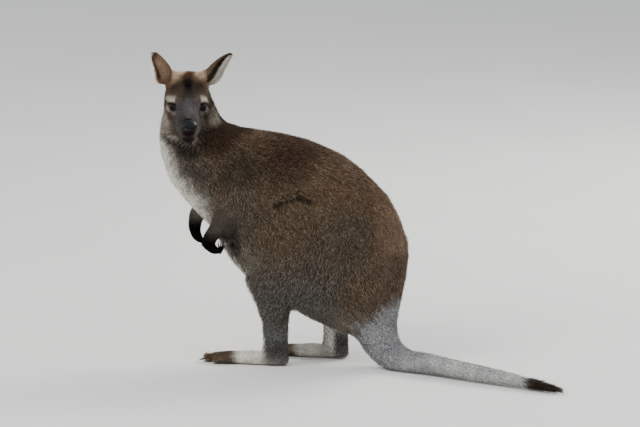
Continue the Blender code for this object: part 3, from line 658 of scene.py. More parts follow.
def sculpt_face(head):
    """Lips, mouth, whisker pads, brows, bridge and tear lines: each a push times its bells."""
    forward, aside, up = head[:, 0], abs(head[:, 1]), head[:, 2]
    sides = ramp(aside, 0.0, 0.004) * (forward > -0.002)
    parts = {"all": 1.0, "sides": sides, "top": up > -0.005,
             "front": ramp(forward, 0.080, 0.086)}
    push = np.zeros_like(head)
    for move, height, width, (start, full) in MOUTH_FORMS:
        form = hump(up, mouth_height(forward) + height, width) * ramp(forward, start, full)
        push += (form * (sides if move[1] else 1.0))[:, None] * move
    for move, *bells, part in FACE_FORMS:
        form = np.ones(len(head)) * parts[part]
        for way, bell in zip((forward, aside, up), bells):
            if bell:
                form = form * hump(way, *bell)
        push += form[:, None] * move
    push[:, 1] *= np.sign(head[:, 1])
    return head + push


def sculpt_head(skin):
    """Moves the skin's points round the eyes and over the face."""
    points = points_of(skin.data)
    near = off_face(points) < 0.100
    head = in_head(points[near])
    for _, side in SIDES:
        head = sculpt_eye(head, side)
    points[near] = from_head(sculpt_face(head))
    put_points(skin.data, points)


# --- Markings --------------------------------------------------------------------------------
BELLY_LINE = np.array(((-0.328, 0.588), (-0.338, 0.541), (-0.337, 0.484), (-0.320, 0.427),
                       (-0.274, 0.366), (-0.214, 0.306), (-0.172, 0.248), (-0.136, 0.208),
                       (-0.092, 0.170), (-0.040, 0.136), (0.060, 0.080)))
BACK_LINE = np.array(((-0.188, 0.600), (-0.130, 0.554), (-0.063, 0.548), (0.010, 0.535),
                      (0.084, 0.509), (0.149, 0.466), (0.209, 0.409), (0.245, 0.347),
                      (0.262, 0.277), (0.260, 0.215), (0.248, 0.157)))

BONE_COLOURS = {             # linear colour of the coat along each bone
    "muzzle": (0.034, 0.029, 0.030), "face": (0.080, 0.070, 0.072), "crown": (0.120, 0.076, 0.046),
    "ear_base": (0.340, 0.235, 0.150), "jaw": (0.085, 0.072, 0.062),
    "nape": (0.040, 0.019, 0.009), "throat": (0.062, 0.046, 0.036), "chest": (0.150, 0.132, 0.110),
    "back": (0.130, 0.078, 0.046), "flank": (0.112, 0.076, 0.045), "belly": (0.220, 0.200, 0.165),
    "tail_base": (0.400, 0.410, 0.425), "tail_length": (0.530, 0.540, 0.530),
    "tail_end": (0.026, 0.016, 0.011), "upper_arm": (0.112, 0.086, 0.064),
    "forearm": (0.105, 0.088, 0.072), "hand": (0.007, 0.005, 0.005),
    "thigh": (0.086, 0.064, 0.047), "shank": (0.145, 0.148, 0.142), "foot": (0.800, 0.780, 0.700),
}

# (colour, middle in head axes, half sizes, strength); each is mirrored to the other side
HEAD_PATCHES = (
    # painted highlight on the crown's sides
    ((0.620, 0.450, 0.305), (-0.060, 0.027, 0.054), (0.023, 0.018, 0.016), 0.9),    # crown sides
    ((0.072, 0.034, 0.017), (-0.045, 0.000, 0.050), (0.034, 0.0100, 0.020), 0.9),   # crown stripe
    ((0.036, 0.026, 0.019), (-0.020, 0.026, 0.031), (0.016, 0.034, 0.013), 0.65),   # brow band
    ((0.012, 0.008, 0.006), (-0.026, 0.000, 0.043), (0.014, 0.016, 0.012), 0.9),    # forehead top
    ((0.004, 0.003, 0.003), (-0.010, 0.000, 0.037), (0.018, 0.0090, 0.016), 1.0),   # forehead
    ((0.040, 0.033, 0.032), (0.006, 0.000, 0.030), (0.020, 0.022, 0.012), 0.8),     # between brows
    ((0.125, 0.116, 0.124), (0.040, 0.000, 0.014), (0.030, 0.012, 0.016), 0.8),     # bridge
    ((0.007, 0.006, 0.007), (0.080, 0.000, 0.006), (0.014, 0.024, 0.014), 1.0),     # nose surround
    ((0.085, 0.068, 0.064), (0.026, 0.030, -0.018), (0.030, 0.012, 0.016), 0.8),    # muzzle side
    ((0.170, 0.148, 0.124), (0.008, 0.032, -0.013), (0.013, 0.010, 0.008), 0.8),    # below the eye
    ((0.330, 0.285, 0.235), (-0.036, 0.052, -0.046), (0.026, 0.018, 0.030), 0.8),   # cheek
    ((0.340, 0.300, 0.250), (-0.014, 0.043, -0.0130), (0.010, 0.010, 0.007), 0.8),  # hind corner
    ((0.046, 0.040, 0.036), (0.026, 0.034, -0.040), (0.024, 0.014, 0.010), 0.8),    # above the jaw
    ((0.014, 0.007, 0.006), (0.076, 0.000, -0.032), (0.018, 0.014, 0.022), 1.0),    # lips
    ((0.018, 0.011, 0.009), (0.062, 0.000, -0.054), (0.022, 0.010, 0.010), 0.9),    # chin
    # painted shadow under the jaw, over the throat
    ((0.018, 0.014, 0.011), (0.010, 0.000, -0.104), (0.045, 0.028, 0.018), 0.9),    # under the jaw
)
EYE_RING = ((0.0030, 0.0025, 0.0028), (0.0045, 0.0385, -0.0015), (0.0170, 0.0140, 0.0080), 1.0)
HEAD_LINES = (               # (colour, line in head axes, where it is full, where it ends)
    ((0.470, 0.420, 0.345), ((-0.002, 0.0315, 0.0170), (-0.012, 0.0396, 0.0120),
                             (-0.023, 0.0463, 0.0045)), 0.0010, 0.0090),      # pale brow
    ((0.005, 0.004, 0.004), ((0.0090, 0.0285, 0.0080), (-0.002, 0.0375, 0.0068),
                             (-0.016, 0.0440, 0.0000)), 0.0016, 0.0034),      # dark upper lid
    ((0.026, 0.018, 0.014), ((-0.026, 0.049, -0.087), (-0.006, 0.030, -0.092),
                             (0.010, 0.014, -0.091)), 0.003, 0.008),          # shade under the jaw
    ((0.270, 0.242, 0.205), ((0.048, 0.004, -0.070), (0.010, 0.020, -0.077),
                             (-0.005, 0.031, -0.078), (-0.020, 0.0445, -0.074),
                             (-0.036, 0.051, -0.063)), 0.0035, 0.0085),       # pale jaw line
)
BODY_PATCHES = (             # (colour, middle in the layout, half sizes, strength)
    ((0.052, 0.024, 0.010), (-0.010, 0.000, 0.515), (0.090, 0.200, 0.040), 0.8),    # withers
    ((0.026, 0.021, 0.016), (-0.125, 0.000, 0.455), (0.055, 0.200, 0.060), 0.8),    # shoulders
    ((0.078, 0.072, 0.063), (-0.108, 0.000, 0.365), (0.034, 0.200, 0.065), 0.75),   # elbow's side
    ((0.040, 0.022, 0.013), (-0.030, 0.000, 0.470), (0.075, 0.200, 0.045), 0.7),    # upper back
    ((0.036, 0.018, 0.009), (-0.190, 0.000, 0.530), (0.050, 0.200, 0.040), 0.8),    # neck side
    ((0.066, 0.058, 0.048), (-0.235, 0.000, 0.440), (0.050, 0.200, 0.060), 0.7),    # neck's foot
    ((0.300, 0.255, 0.205), (-0.320, -0.030, 0.560), (0.036, 0.060, 0.036), 0.8),   # below the cheek
    # painted sunlight on the top of the rump, lighter than its fur
    ((0.240, 0.150, 0.095), (0.245, 0.000, 0.345), (0.060, 0.200, 0.100), 0.75),    # top of rump
    ((0.090, 0.058, 0.038), (0.240, 0.000, 0.235), (0.070, 0.200, 0.050), 0.5),     # seat
    ((0.120, 0.115, 0.105), (0.060, 0.000, 0.150), (0.070, 0.200, 0.050), 0.7),     # groin
)
TAIL_ROOT_LIGHT = ((0.520, 0.530, 0.545), (0.305, -0.090, 0.030), (0.050, 0.080, 0.055), 0.9)
# painted shadow on the belly's left side, behind the arm
BELLY_SHADE = ((0.024, 0.018, 0.013), (-0.140, 0.080, 0.290), (0.017, 0.060, 0.040), 0.85)
GREY_EDGE = (0.0908, 0.1336, 0.693)        # height, place along and slope of the grey's upper edge
WHITE_EDGE = (0.300, 0.270, 0.225)         # between the white of throat and belly and the flanks
WHITE_FUR = (0.950, 0.930, 0.850)
# white of the inner legs, also used as painted rim light down the legs' fronts
INNER_LEG_WHITE_AND_RIM_LIGHT = (0.900, 0.880, 0.800)
LOW_THIGH = (0.092, 0.092, 0.085)
TAIL_BASE_SHADE = (0.095, 0.066, 0.045)    # just above the grey's edge, over the tail's base
RUMP_GREY = (0.360, 0.368, 0.385)
TOE_BROWN = (0.098, 0.066, 0.041)
WRIST_BLACK = (0.004, 0.003, 0.003)
LOW_SHANK = (0.023, 0.022, 0.021)
PARTING_DARK = (0.009, 0.006, 0.004)       # under-fur in the parting, darkened further as painted shadow in its groove
TOES_START, TOES_FULL = 0.48, 0.62         # shares of the foot's length
LEG_FRONT = ((0.064, 0.142, 0.212, 0.260),         # heights, and how far forward the leg reaches
             (0.035, 0.047, 0.079, 0.100))
PARTING = np.array(((-0.042, 0.387), (-0.012, 0.400), (0.017, 0.408), (0.043, 0.396)))
PARTING_SIDE = -0.06                       # the parting lies further to the left than this


def blot(points, middle, sizes):
    """1 inside an ellipsoid, fading out from 0.55 to 1.30 of the way to its edge."""
    off = np.linalg.norm((points - np.array(middle)) / np.array(sizes), axis=1)
    return 1 - ramp(off, 0.55, 1.30)


def mixed(colours, colour, share):
    """Colours drawn towards one colour by a share of the way."""
    return colours + (np.array(colour) - colours) * np.clip(share, 0, 1)[:, None]


def patched(colours, places, patch, share=1.0):
    """Colours with a patch laid over them: (colour, middle, half sizes, strength)."""
    colour, middle, sizes, strength = patch
    return mixed(colours, colour, strength * share * blot(places, middle, sizes))


def off_side_line(places, line):
    """Distance from places to a line of the side view, given by its places along and heights."""
    off, _, _ = along_line(places * (1, 0, 1), np.insert(line, 1, 0, axis=1))
    return off


def depth_share(places):
    """0 along the belly's line and 1 along the back's, from the distances to both."""
    off_belly, off_back = (off_side_line(places, line) for line in (BELLY_LINE, BACK_LINE))
    return off_belly / (off_belly + off_back)


def far_along(points, kind, start, full):
    """Rises from 0 to 1 between two shares of the way along the nearer bone of a kind."""
    found = np.zeros(len(points))
    best = np.full(len(points), np.inf)
    for side, _ in SIDES:
        off, _, reached = along_line(points - SHIFT, BONES[f"{side}_{kind}"])
        found = np.where(off < best, reached, found)
        best = np.minimum(off, best)
    return ramp(found, start, full)


def off_parting(places):
    """Distance from the left flank's parting, and where it may lie."""
    return off_side_line(places, PARTING), places[:, 1] < PARTING_SIDE


def parted(places, lies):
    """Lies turned up above the parting and down below it, less and less over a centimetre."""
    off, there = off_parting(places)
    above = np.interp(places[:, 0], PARTING[:, 0], PARTING[:, 1])
    turned = unit(lies)
    turned[:, 2] += 1.1 * (1 - ramp(off, 0.0015, 0.011)) * there * np.sign(places[:, 2] - above)
    return turned


def pale_inner_legs_and_rim_light(colours, places, legs):
    """White fur on the inner face of each shank and knee, and painted rim light as white down their
    fronts.
    """
    height = places[:, 2]
    ragged = 0.004 * waves(places, 0.012, 7)
    low = 1 - ramp(height, 0.180, 0.260)
    for shift, y in LEGS.values():
        off = places[:, 0] + 0.042 - shift
        inwards = (places[:, 1] - y) * -math.copysign(1, y) + ragged
        inner = ramp(inwards - 0.018 * ramp(height, 0.070, 0.130), 0.004, 0.016)
        inner *= np.maximum(ramp(-off, -0.010, 0.004), 0.75 * ramp(height, 0.060, 0.085))
        # painted rim light: white down the front edge of each knee and shank
        front = ramp(ragged - off - np.interp(height, *LEG_FRONT), -0.017, -0.009)
        here = ramp(-abs(off), -0.095, -0.070) * (abs(places[:, 1] - y) < 0.06)
        pale = np.maximum(inner * 0.9, front)
        colours = mixed(colours, INNER_LEG_WHITE_AND_RIM_LIGHT, 0.95 * legs * pale * here * low)
    return colours


def trunk_markings(colours, places, shares, ragged):
    """White throat, chest and belly under a grey edge, over the patches of back and flanks.

    The white reaches from the belly's line to a share of the way to the back's, which is
    greatest at the chest and the neck.
    """
    height = places[:, 2]
    trunk = share_of(shares, *MARKED_TRUNK)
    hips = trunk + share_of(shares, "thigh", "tail_base")
    deep = depth_share(places) + ragged
    edge = (0.055 + 0.095 * ramp(height, 0.30, 0.38) + 0.07 * ramp(height, 0.44, 0.53)
            + 0.08 * hump(height, 0.420, 0.060))
    under = trunk * (1 - ramp(abs(places[:, 1]), 0.075, 0.115) * ramp(places[:, 0], -0.14, -0.08))
    under *= (1 - ramp(height, 0.505, 0.540)) * (1 - ramp(places[:, 0], 0.06, 0.11))
    for patch in BODY_PATCHES:
        colours = patched(colours, places, patch, hips)
    colours = mixed(colours, WHITE_EDGE, 0.8 * under * (1 - ramp(deep, edge, edge * 1.7)))
    colours = mixed(colours, WHITE_FUR, under * (1 - ramp(deep, edge * 0.6, edge * 1.25)))
    # painted shadow on the left side of the belly
    left_side = ramp(-places[:, 1], 0.0, 0.030)
    return patched(colours, folded(places), BELLY_SHADE, left_side * trunk)


def rump_markings(colours, places, shares, ragged):
    """Grey rump and tail base below a sloping edge, with a dark line over the tail base's."""
    hips = share_of(shares, *MARKED_TRUNK) + share_of(shares, "thigh", "tail_base")
    height, along, slope = GREY_EDGE
    above = places[:, 2] - height - slope * (places[:, 0] - along) + 0.5 * ragged
    behind = ramp(places[:, 0], 0.095, 0.120)
    tail = share_of(shares, "tail_base") * ramp(above, 0.0, 0.016)
    colours = mixed(colours, TAIL_BASE_SHADE, tail)
    colours = mixed(colours, RUMP_GREY, hips * behind * (1 - ramp(above, -0.008, 0.006)))
    return patched(colours, places, TAIL_ROOT_LIGHT, hips)


def limb_markings(colours, points, places, shares):
    """Brown toes, black wrists and hands, and dark lower shanks with white inner faces and painted
    rim light down their fronts.
    """
    foot = share_of(shares, "foot")
    toes = (far_along(points, "foot", TOES_START, TOES_FULL)
            + 0.06 * waves(places, 0.010, 8) * foot)
    colours = mixed(colours, TOE_BROWN, foot * np.clip(toes, 0, 1))
    wrist = share_of(shares, "forearm", "hand") * far_along(points, "forearm", 0.62, 0.95)
    colours = mixed(colours, WRIST_BLACK, wrist)
    shank = share_of(shares, "shank")
    colours = mixed(colours, LOW_SHANK, shank * (1 - ramp(places[:, 2], 0.030, 0.085)) * 0.8)
    return pale_inner_legs_and_rim_light(colours, places, share_of(shares, "shank", "thigh"))


def head_markings(colours, points):
    """Patches, then lines and last the eyes' dark rings, all mirrored from the left side."""
    head = folded(in_head(points))
    near = 1 - ramp(off_face(points), *HEAD_EDGE)
    for patch in HEAD_PATCHES:
        colours = patched(colours, head, patch, near)
    for colour, line, full, end in HEAD_LINES:
        off, _, _ = along_line(head, line)
        colours = mixed(colours, colour, near * (1 - ramp(off, full, end)))
    return patched(colours, head, EYE_RING)


def markings(points, shares):
    """Colour of the coat at points of the frame: bones first, then trunk, rump, legs and face."""
    places = points - SHIFT
    colours = shares @ np.array([BONE_COLOURS[kind] for kind in KINDS])
    ragged = 0.035 * waves(places, 0.020, 5) + 0.02 * waves(places, 0.007, 6)
    colours = trunk_markings(colours, places, shares, ragged)
    low_thigh = share_of(shares, "thigh") * (1 - ramp(places[:, 2], 0.160, 0.290))
    colours = mixed(colours, LOW_THIGH, 0.85 * low_thigh)
    colours = rump_markings(colours, places, shares, ragged)
    colours = limb_markings(colours, points, places, shares)
    # the parting: dark under-fur, with painted shadow in its groove
    off, there = off_parting(places)
    colours = mixed(colours, PARTING_DARK, 0.9 * (1 - ramp(off, 0.0022, 0.0054)) * there)
    return head_markings(colours, points)


# --- Coat ------------------------------------------------------------------------------------
LONG_LOCKS = 100000          # bent locks of the body
SHORT_SPIKES = 96000         # short straight ones of face, hands and feet
FEWEST_LOCKS = 400           # a region with fewer of a kind goes without it
PATCH_SIZE = 0.003           # a lock's place on the baking map
SOLE_HEIGHT = 0.0040         # no hair grows on soles below it
SHORT_KINDS = ("muzzle", "face", "jaw", "crown", "hand", "foot", "forearm", "ear_base")
DOWNWARD = np.array((0.05, 0, -0.8))       # how hair hangs, and how much on each kind of bone
FALL = {"back": 0.25, "flank": 0.55, "thigh": 1.3, "nape": 0.15, "belly": 0.1, "chest": 0.2}
LOCK_SHARES = (0.0, 0.0, 0.0, 0.45, 0.45, 0.45, 1.0)       # how far along its lock each point is
LOCK_FACES = ((0, 1, 4), (0, 4, 3), (1, 2, 5), (1, 5, 4), (2, 0, 3), (2, 3, 5),
              (3, 4, 6), (4, 5, 6), (5, 3, 6), (2, 1, 0))
SPIKE_SHARES = (0.15, 0.15, 0.15, 1.0)
SPIKE_FACES = ((0, 1, 3), (1, 2, 3), (2, 0, 3), (2, 1, 0))
LOCK_CORNERS = (90, 210, 330)              # of its three-sided section, in degrees
LOCK_WIDE, LOCK_HIGH = 0.55, 0.32          # half sizes of the section, in widths
DEEPEST_ROOT = 0.0013                      # how far a lock's root may lie under the skin
BOX_GAP_LOW = (0.0002, 0.0002, 0.0004)     # kept between the coat and the CAD's box
BOX_GAP_HIGH = 0.0002

REGIONS = {                  # coat piece: its bones, and the side of the body, if it has one
    "coat_face": (("muzzle", "face"), 0),
    "coat_jaw": (("jaw",), 0),
    "coat_crown": (("crown", "left_ear_base", "right_ear_base"), 0),
    "coat_hands": (("left_hand", "right_hand", "left_forearm", "right_forearm"), 0),
    "coat_feet": (("left_foot", "right_foot"), 0),
    "coat_nape": (("nape",), 0),
    "coat_throat": (("throat",), 0),
    "coat_chest": (("chest",), 0),
    "coat_back_left": (("back",), -1),
    "coat_back_right": (("back",), 1),
    "coat_flank_left": (("flank",), -1),
    "coat_flank_right": (("flank",), 1),
    "coat_belly": (("belly",), 0),
    "coat_tail": (("tail_base", "tail_length", "tail_end"), 0),
    "coat_arms": (("left_upper_arm", "right_upper_arm"), 0),
    "coat_thigh_left": (("left_thigh",), 0),
    "coat_thigh_right": (("right_thigh",), 0),
    "coat_shanks": (("left_shank", "right_shank"), 0),
}


def scattered(points, triangles, weights, count, seed):
    """Even random spots on a surface: (their triangles, weights of the triangles' corners).

    The spots take even steps through the running sum of weighted areas, each with a random part
    of a step, and the square root of a random number evens them out over their triangle.
    """
    dice = np.random.default_rng(seed)
    a, b, c = (points[triangles[:, i]] for i in range(3))
    area = np.linalg.norm(np.cross(b - a, c - a), axis=1) / 2 * weights
    reach = np.cumsum(area)
    at = (np.arange(count) + dice.random(count)) / count * reach[-1]
    chosen = np.minimum(np.searchsorted(reach, at), len(triangles) - 1)
    r, q = np.sqrt(dice.random(count)), dice.random(count)
    return triangles[chosen], np.column_stack((1 - r, r * (1 - q), r * q))


def tuft_arrays(roots, normals, lies, lengths, widths, depths, seed, bent):
    """Points of three-sided locks, one for each root: (locks, points of a lock, 3).

    A bent lock has a triangle at its root and one near its middle, and ends in a tip. It rises
    steeply at first and then bends over, so that its tip stands at the coat's depth. A spike has
    only its root and its tip.
    """
    dice = np.random.default_rng(seed)
    count = len(roots)
    side = np.cross(normals, lies)
    rise = np.clip(depths / lengths, 0.05, 0.9) * dice.uniform(0.75, 1.10, count)
    first = np.arcsin(np.clip(rise * (1.35 if bent else 1.0), 0, 0.95))
    second = np.arcsin(np.clip(rise * 0.70, 0, 0.9))
    bend = dice.normal(0, 0.10, count)

    def onward(angle, turn):
        way = lies * np.cos(turn)[:, None] + side * np.sin(turn)[:, None]
        return way * np.cos(angle)[:, None] + normals * np.sin(angle)[:, None]

    start = roots - normals * np.minimum(0.0002 + 0.22 * depths, DEEPEST_ROOT)[:, None]
    stations = [(start, 1.0, first)]
    if bent:
        middle = start + onward(first, bend) * (lengths * 0.45)[:, None]
        tip = middle + onward(second, bend * 2.5) * (lengths * 0.55)[:, None]
        stations.append((middle, 0.85, second))
    else:
        tip = start + onward(first, bend) * lengths[:, None]
    rings = []
    for centre, size, angle in stations:
        lift = np.cross(onward(angle, bend), side)
        for corner in LOCK_CORNERS:
            wide = math.cos(math.radians(corner)) * LOCK_WIDE
            high = math.sin(math.radians(corner)) * LOCK_HIGH
            rings.append(centre + (side * wide - lift * high) * (widths * size)[:, None])
    return np.stack(rings + [tip], axis=1)


def tuft_piece(name, locks, colours, map_places, seed, bent):
    """One coat piece, with its markings, its place along each lock and its baking map.

    locks are the arrays that tuft_arrays takes. On the map a lock is a small patch at its
    root's place.
    """
    dice = np.random.default_rng(seed + 1)
    points = tuft_arrays(*locks, seed, bent)
    count, corners = points.shape[:2]
    low, high = (np.array(corner) for corner in CAD_BOX)
    points = np.clip(points, low + BOX_GAP_LOW, high - BOX_GAP_HIGH)
    along = np.array(LOCK_SHARES if bent else SPIKE_SHARES)
    faces = np.array(LOCK_FACES if bent else SPIKE_FACES)
    triangles = (faces[None] + (np.arange(count) * corners)[:, None, None]).reshape(-1, 3)
    across = np.array((0.1, 0.5, 0.9) * (2 if bent else 1) + (0.5,))
    patch = np.column_stack((across, along)) * PATCH_SIZE
    uvs = map_places[:, None, :] * (1 - PATCH_SIZE) + patch[None]
    values = {"along": np.tile(along, count), "tone": np.repeat(dice.random(count), corners),
              "shade": np.repeat(np.clip(dice.normal(1.0, 0.12, count), 0.6, 1.4), corners)}
    return array_mesh(name, points.reshape(-1, 3), triangles,
                      {"marking": np.repeat(colours, corners, axis=0)}, values,
                      uvs.reshape(-1, 2))


def unrolled(places, line):
    """Place on an unwrap of the flesh round a bone: along it, and the angle round it."""
    _, _, reached = along_line(places, line)
    first, last = line[0], line[-1]
    course = unit(last - first)
    side = unit(np.cross(course, (0.0, 0.0, 1.0) if abs(course[2]) < 0.9 else (1.0, 0.0, 0.0)))
    off = places - first
    turn = np.arctan2(off @ side, off @ np.cross(side, course)) / (2 * math.pi) + 0.5
    beyond = off @ course / np.linalg.norm(last - first)
    return np.column_stack((np.clip(0.1 + 0.8 * (0.5 * reached + 0.5 * beyond), 0, 1), turn))


def bare(points, head, normals):
    """True where no hair grows: in the eyes' openings, on the nose and under the soles."""
    gone = (points[:, 2] < SOLE_HEIGHT) & (normals[:, 2] < -0.3)
    for _, side in SIDES:
        w, u, v, off = from_eye(head, side)
        across = np.clip(u / LID_LONG, -1.5, 1.5)
        low, high = lid_gap(across)
        gone |= ((w > 0) & (abs(across) < 1.15) & (v > low - 0.0016)
                 & (v < high + 0.0016) & (off < 0.020))
    nose = np.linalg.norm((head - NOSE_MIDDLE) / (NOSE_SIZES * 1.06), axis=1) < 1
    return gone | (nose & (head[:, 0] > NOSE_MIDDLE[0] - 0.002))


def coat_lies(points, normals, lies, seed=3):
    """Lie of each lock on the surface, turned a little by smooth waves and by chance."""
    dice = np.random.default_rng(seed)
    flat = unit(lies - normals * (lies * normals).sum(1)[:, None])
    side = np.cross(normals, flat)
    turn = (0.16 * waves(points, 0.045, 11) + 0.14 * waves(points, 0.012, 12)
            + dice.normal(0, 0.12, len(points)))
    return flat * np.cos(turn)[:, None] + side * np.sin(turn)[:, None]


def sown(skin, weights, count, seed):
    """Roots spread over the skin: (points, normals, bone shares, lies)."""
    points, triangles, normals = points_of(skin.data), triangles_of(skin.data), normals_of(skin.data)
    faces, corners = scattered(points, triangles, weights[triangles].mean(1), count, seed)
    roots, normals = carried(points, faces, corners), unit(carried(normals, faces, corners))
    grown = ~bare(roots, in_head(roots), normals)
    roots, normals = roots[grown], normals[grown]
    return roots, normals, *bone_shares(roots - SHIFT)


def lock_sizes(roots, normals, shares, seed):
    """(lengths, widths, depths) of locks, by their bones, longer on the toes and the tail's tip."""
    dice = np.random.default_rng(seed)
    lengths = shares @ HAIR_LENGTHS * dice.uniform(0.75, 1.15, len(roots))
    widths = 0.88 * (shares @ HAIR_WIDTHS) * dice.uniform(0.75, 1.20, len(roots))
    depths = coat_depth(shares, in_head(roots)) * 0.95
    thin = 0.45 + 0.55 * ramp(depths / (shares @ COAT_DEPTHS), 0.2, 0.9)
    toes = (share_of(shares, "foot") * far_along(roots, "foot", TOES_START, TOES_FULL)
            * ramp(normals[:, 2], 0.0, 0.4))
    bushy = share_of(shares, "tail_end") * ((roots - SHIFT)[:, 2] > 0.008)
    lengths *= thin * (1 + 1.1 * toes + 0.5 * bushy)
    depths *= 1 + 1.3 * toes + 0.9 * bushy
    return lengths, widths * thin * (1 + 0.5 * toes), depths


def make_coat(skin):
    """All locks of the coat on the skin, in one piece for each region of the body."""
    shares, _ = bone_shares(points_of(skin.data) - SHIFT)
    short = ramp(share_of(shares, *SHORT_KINDS), 0.45, 0.55)
    close = 1 / (shares @ HAIR_WIDTHS) ** 1.5
    falls = np.array([FALL.get(kind, 0.0) for kind in KINDS])
    pieces = []
    for bent, weights, count, seed in ((True, close * (1 - short), LONG_LOCKS, 21),
                                       (False, close * short, SHORT_SPIKES, 22)):
        roots, normals, shares, lies = sown(skin, weights, count, seed)
        places = roots - SHIFT
        lies += (shares @ falls)[:, None] * DOWNWARD
        lies = coat_lies(roots, normals, parted(places, lies))
        sizes = lock_sizes(roots, normals, shares, seed + 10)
        colours = markings(roots, shares)
        home = shares.argmax(1)
        for order, (name, (members, side)) in enumerate(REGIONS.items()):
            mine = np.isin(home, [BONE_NAMES.index(member) for member in members])
            if side:
                mine &= np.sign(places[:, 1]) == side
            if mine.sum() < FEWEST_LOCKS:
                continue
            if bent == (bone_kind(members[0]) in SHORT_KINDS):
                name += "_long" if bent else "_short"
            locks = [given[mine] for given in (roots, normals, lies, *sizes)]
            map_places = unrolled(places[mine], BONES[members[0]])
            pieces.append(tuft_piece(name, locks, colours[mine], map_places,
                                     100 + 2 * order, bent))
    return pieces


# --- Ears ------------------------------------------------------------------------------------
EAR_ROWS, EAR_COLUMNS = 44, 56
EAR_WALL = 0.0011            # half thickness of the leaf
EAR_ROOT_WIDTH = 0.0180      # half width of the leaf at the root, and how much more it becomes
EAR_WIDENS = 0.0065
EAR_TURNS = (118, 58)        # half angle of the cup at the root and how much less at the tip, degrees
EAR_BOW = 0.04               # how far the leaf bows back, in lengths
EAR_HAIRS = 16000
EAR_BACK_BROWN = (0.195, 0.122, 0.080)
EAR_TIP_BROWN = (0.050, 0.030, 0.021)
# painted shade inside the cup, on its front side
EAR_HOLLOW_PAINTED_SHADE = (0.024, 0.016, 0.012)
EAR_INSIDE_PALE = (0.620, 0.600, 0.500)
# painted shadow along the ear's front edge
EAR_PAINTED_SHADOW = (0.016, 0.010, 0.007)
EAR_MARGIN_WHITE = (0.800, 0.770, 0.650)


def ear_points(name):
    """Ear as a cupped leaf: a crescent profile carried from root to tip, closed on itself.

    The width grows from the root to two fifths of the length and rounds off at the tip, and the
    crescent opens out on the way. The root starts inside the head. Each point comes with whether
    it is on the back, its place round the cup from -1 to 1 and its share of the length.
    """
    root, tip, opening = (np.array(v) for v in EARS[name])
    root, tip = from_head(root), from_head(tip * 0.985 + root * 0.015)
    axis = tip - root
    length = np.linalg.norm(axis)
    opening = opening @ HEAD_AXES
    hollow = unit(opening - axis * (opening @ axis) / length ** 2)
    across = np.cross(axis / length, hollow)
    share = (1 - 1.10 * (1 - np.linspace(0, 1, EAR_ROWS)) ** 1.3)[:, None]
    turn = turns(EAR_COLUMNS)[None, :]
    width = EAR_ROOT_WIDTH + EAR_WIDENS * ramp(share, 0, 0.4)
    width = width * np.sqrt(np.clip(1 - np.maximum(share, 0) ** 3.6, 0.0004, 1))
    width = width * (0.48 + 0.52 * ramp(share, -0.10, 0.24))
    wrap = np.radians(EAR_TURNS[0] - EAR_TURNS[1] * share)
    radius = width / np.sin(np.minimum(wrap, math.pi / 2))
    bow = EAR_BOW * length * np.sin(math.pi * np.maximum(share, 0))
    at = np.sign(np.cos(turn)) * abs(np.cos(turn)) ** 0.85
    wall = EAR_WALL * np.sign(np.sin(turn)) * abs(np.sin(turn)) ** 0.7
    reach = radius + wall * (1 - 0.5 * share)
    points = (root + axis * share[..., None] - hollow * bow[..., None]
              + across * (reach * np.sin(wrap * at))[..., None]
              - hollow * (reach * np.cos(wrap * at) - radius * 0.55)[..., None])
    facts = (np.broadcast_to(fact, reach.shape).ravel() for fact in (np.sin(turn) > 0, at, share))
    return points.reshape(-1, 3), *facts, axis / length


def ear_caps():
    """Faces that close both ends of the leaf, between its outer and its inner edge."""
    step = np.arange(1, EAR_COLUMNS // 2 - 1)
    cap = np.column_stack((step, step + 1, EAR_COLUMNS - step - 1, EAR_COLUMNS - step))
    return np.vstack((cap[:, ::-1], cap + (EAR_ROWS - 1) * EAR_COLUMNS))


def ear_markings(share, outer, at, name):
    """Brown back, a dark line of painted shadow along the front, inside painted shade giving way to
    white hair, and white hair along the hind margin.

    at runs from -1 to 1 round the cup. The margin that is white lies at 1 on both ears.
    """
    def plain(colour):
        return np.tile(colour, (len(share), 1))

    back = mixed(plain(EAR_BACK_BROWN), EAR_TIP_BROWN, ramp(share, 0.72, 0.98))
    # inside the cup: painted shade on its front side, white hair towards the hind margin
    inside = mixed(plain(EAR_HOLLOW_PAINTED_SHADE), EAR_INSIDE_PALE, ramp(at, -0.35, 0.35))
    # painted shadow along the front edge of both ears, and on the right ear in a stripe just inside
    # its white margin
    if name == "left":
        dark = ramp(-at, 0.62, 0.86)
    else:
        dark = hump(at, 0.72, 0.13) * ramp(share, 0.15, 0.35) + ramp(-at, 0.70, 0.90)
    colours = mixed(np.where(outer[:, None], back, inside), EAR_PAINTED_SHADOW, 0.95 * dark)
    return mixed(colours, EAR_MARGIN_WHITE, ramp(at, 0.84, 0.95) * ramp(share, 0.05, 0.20))


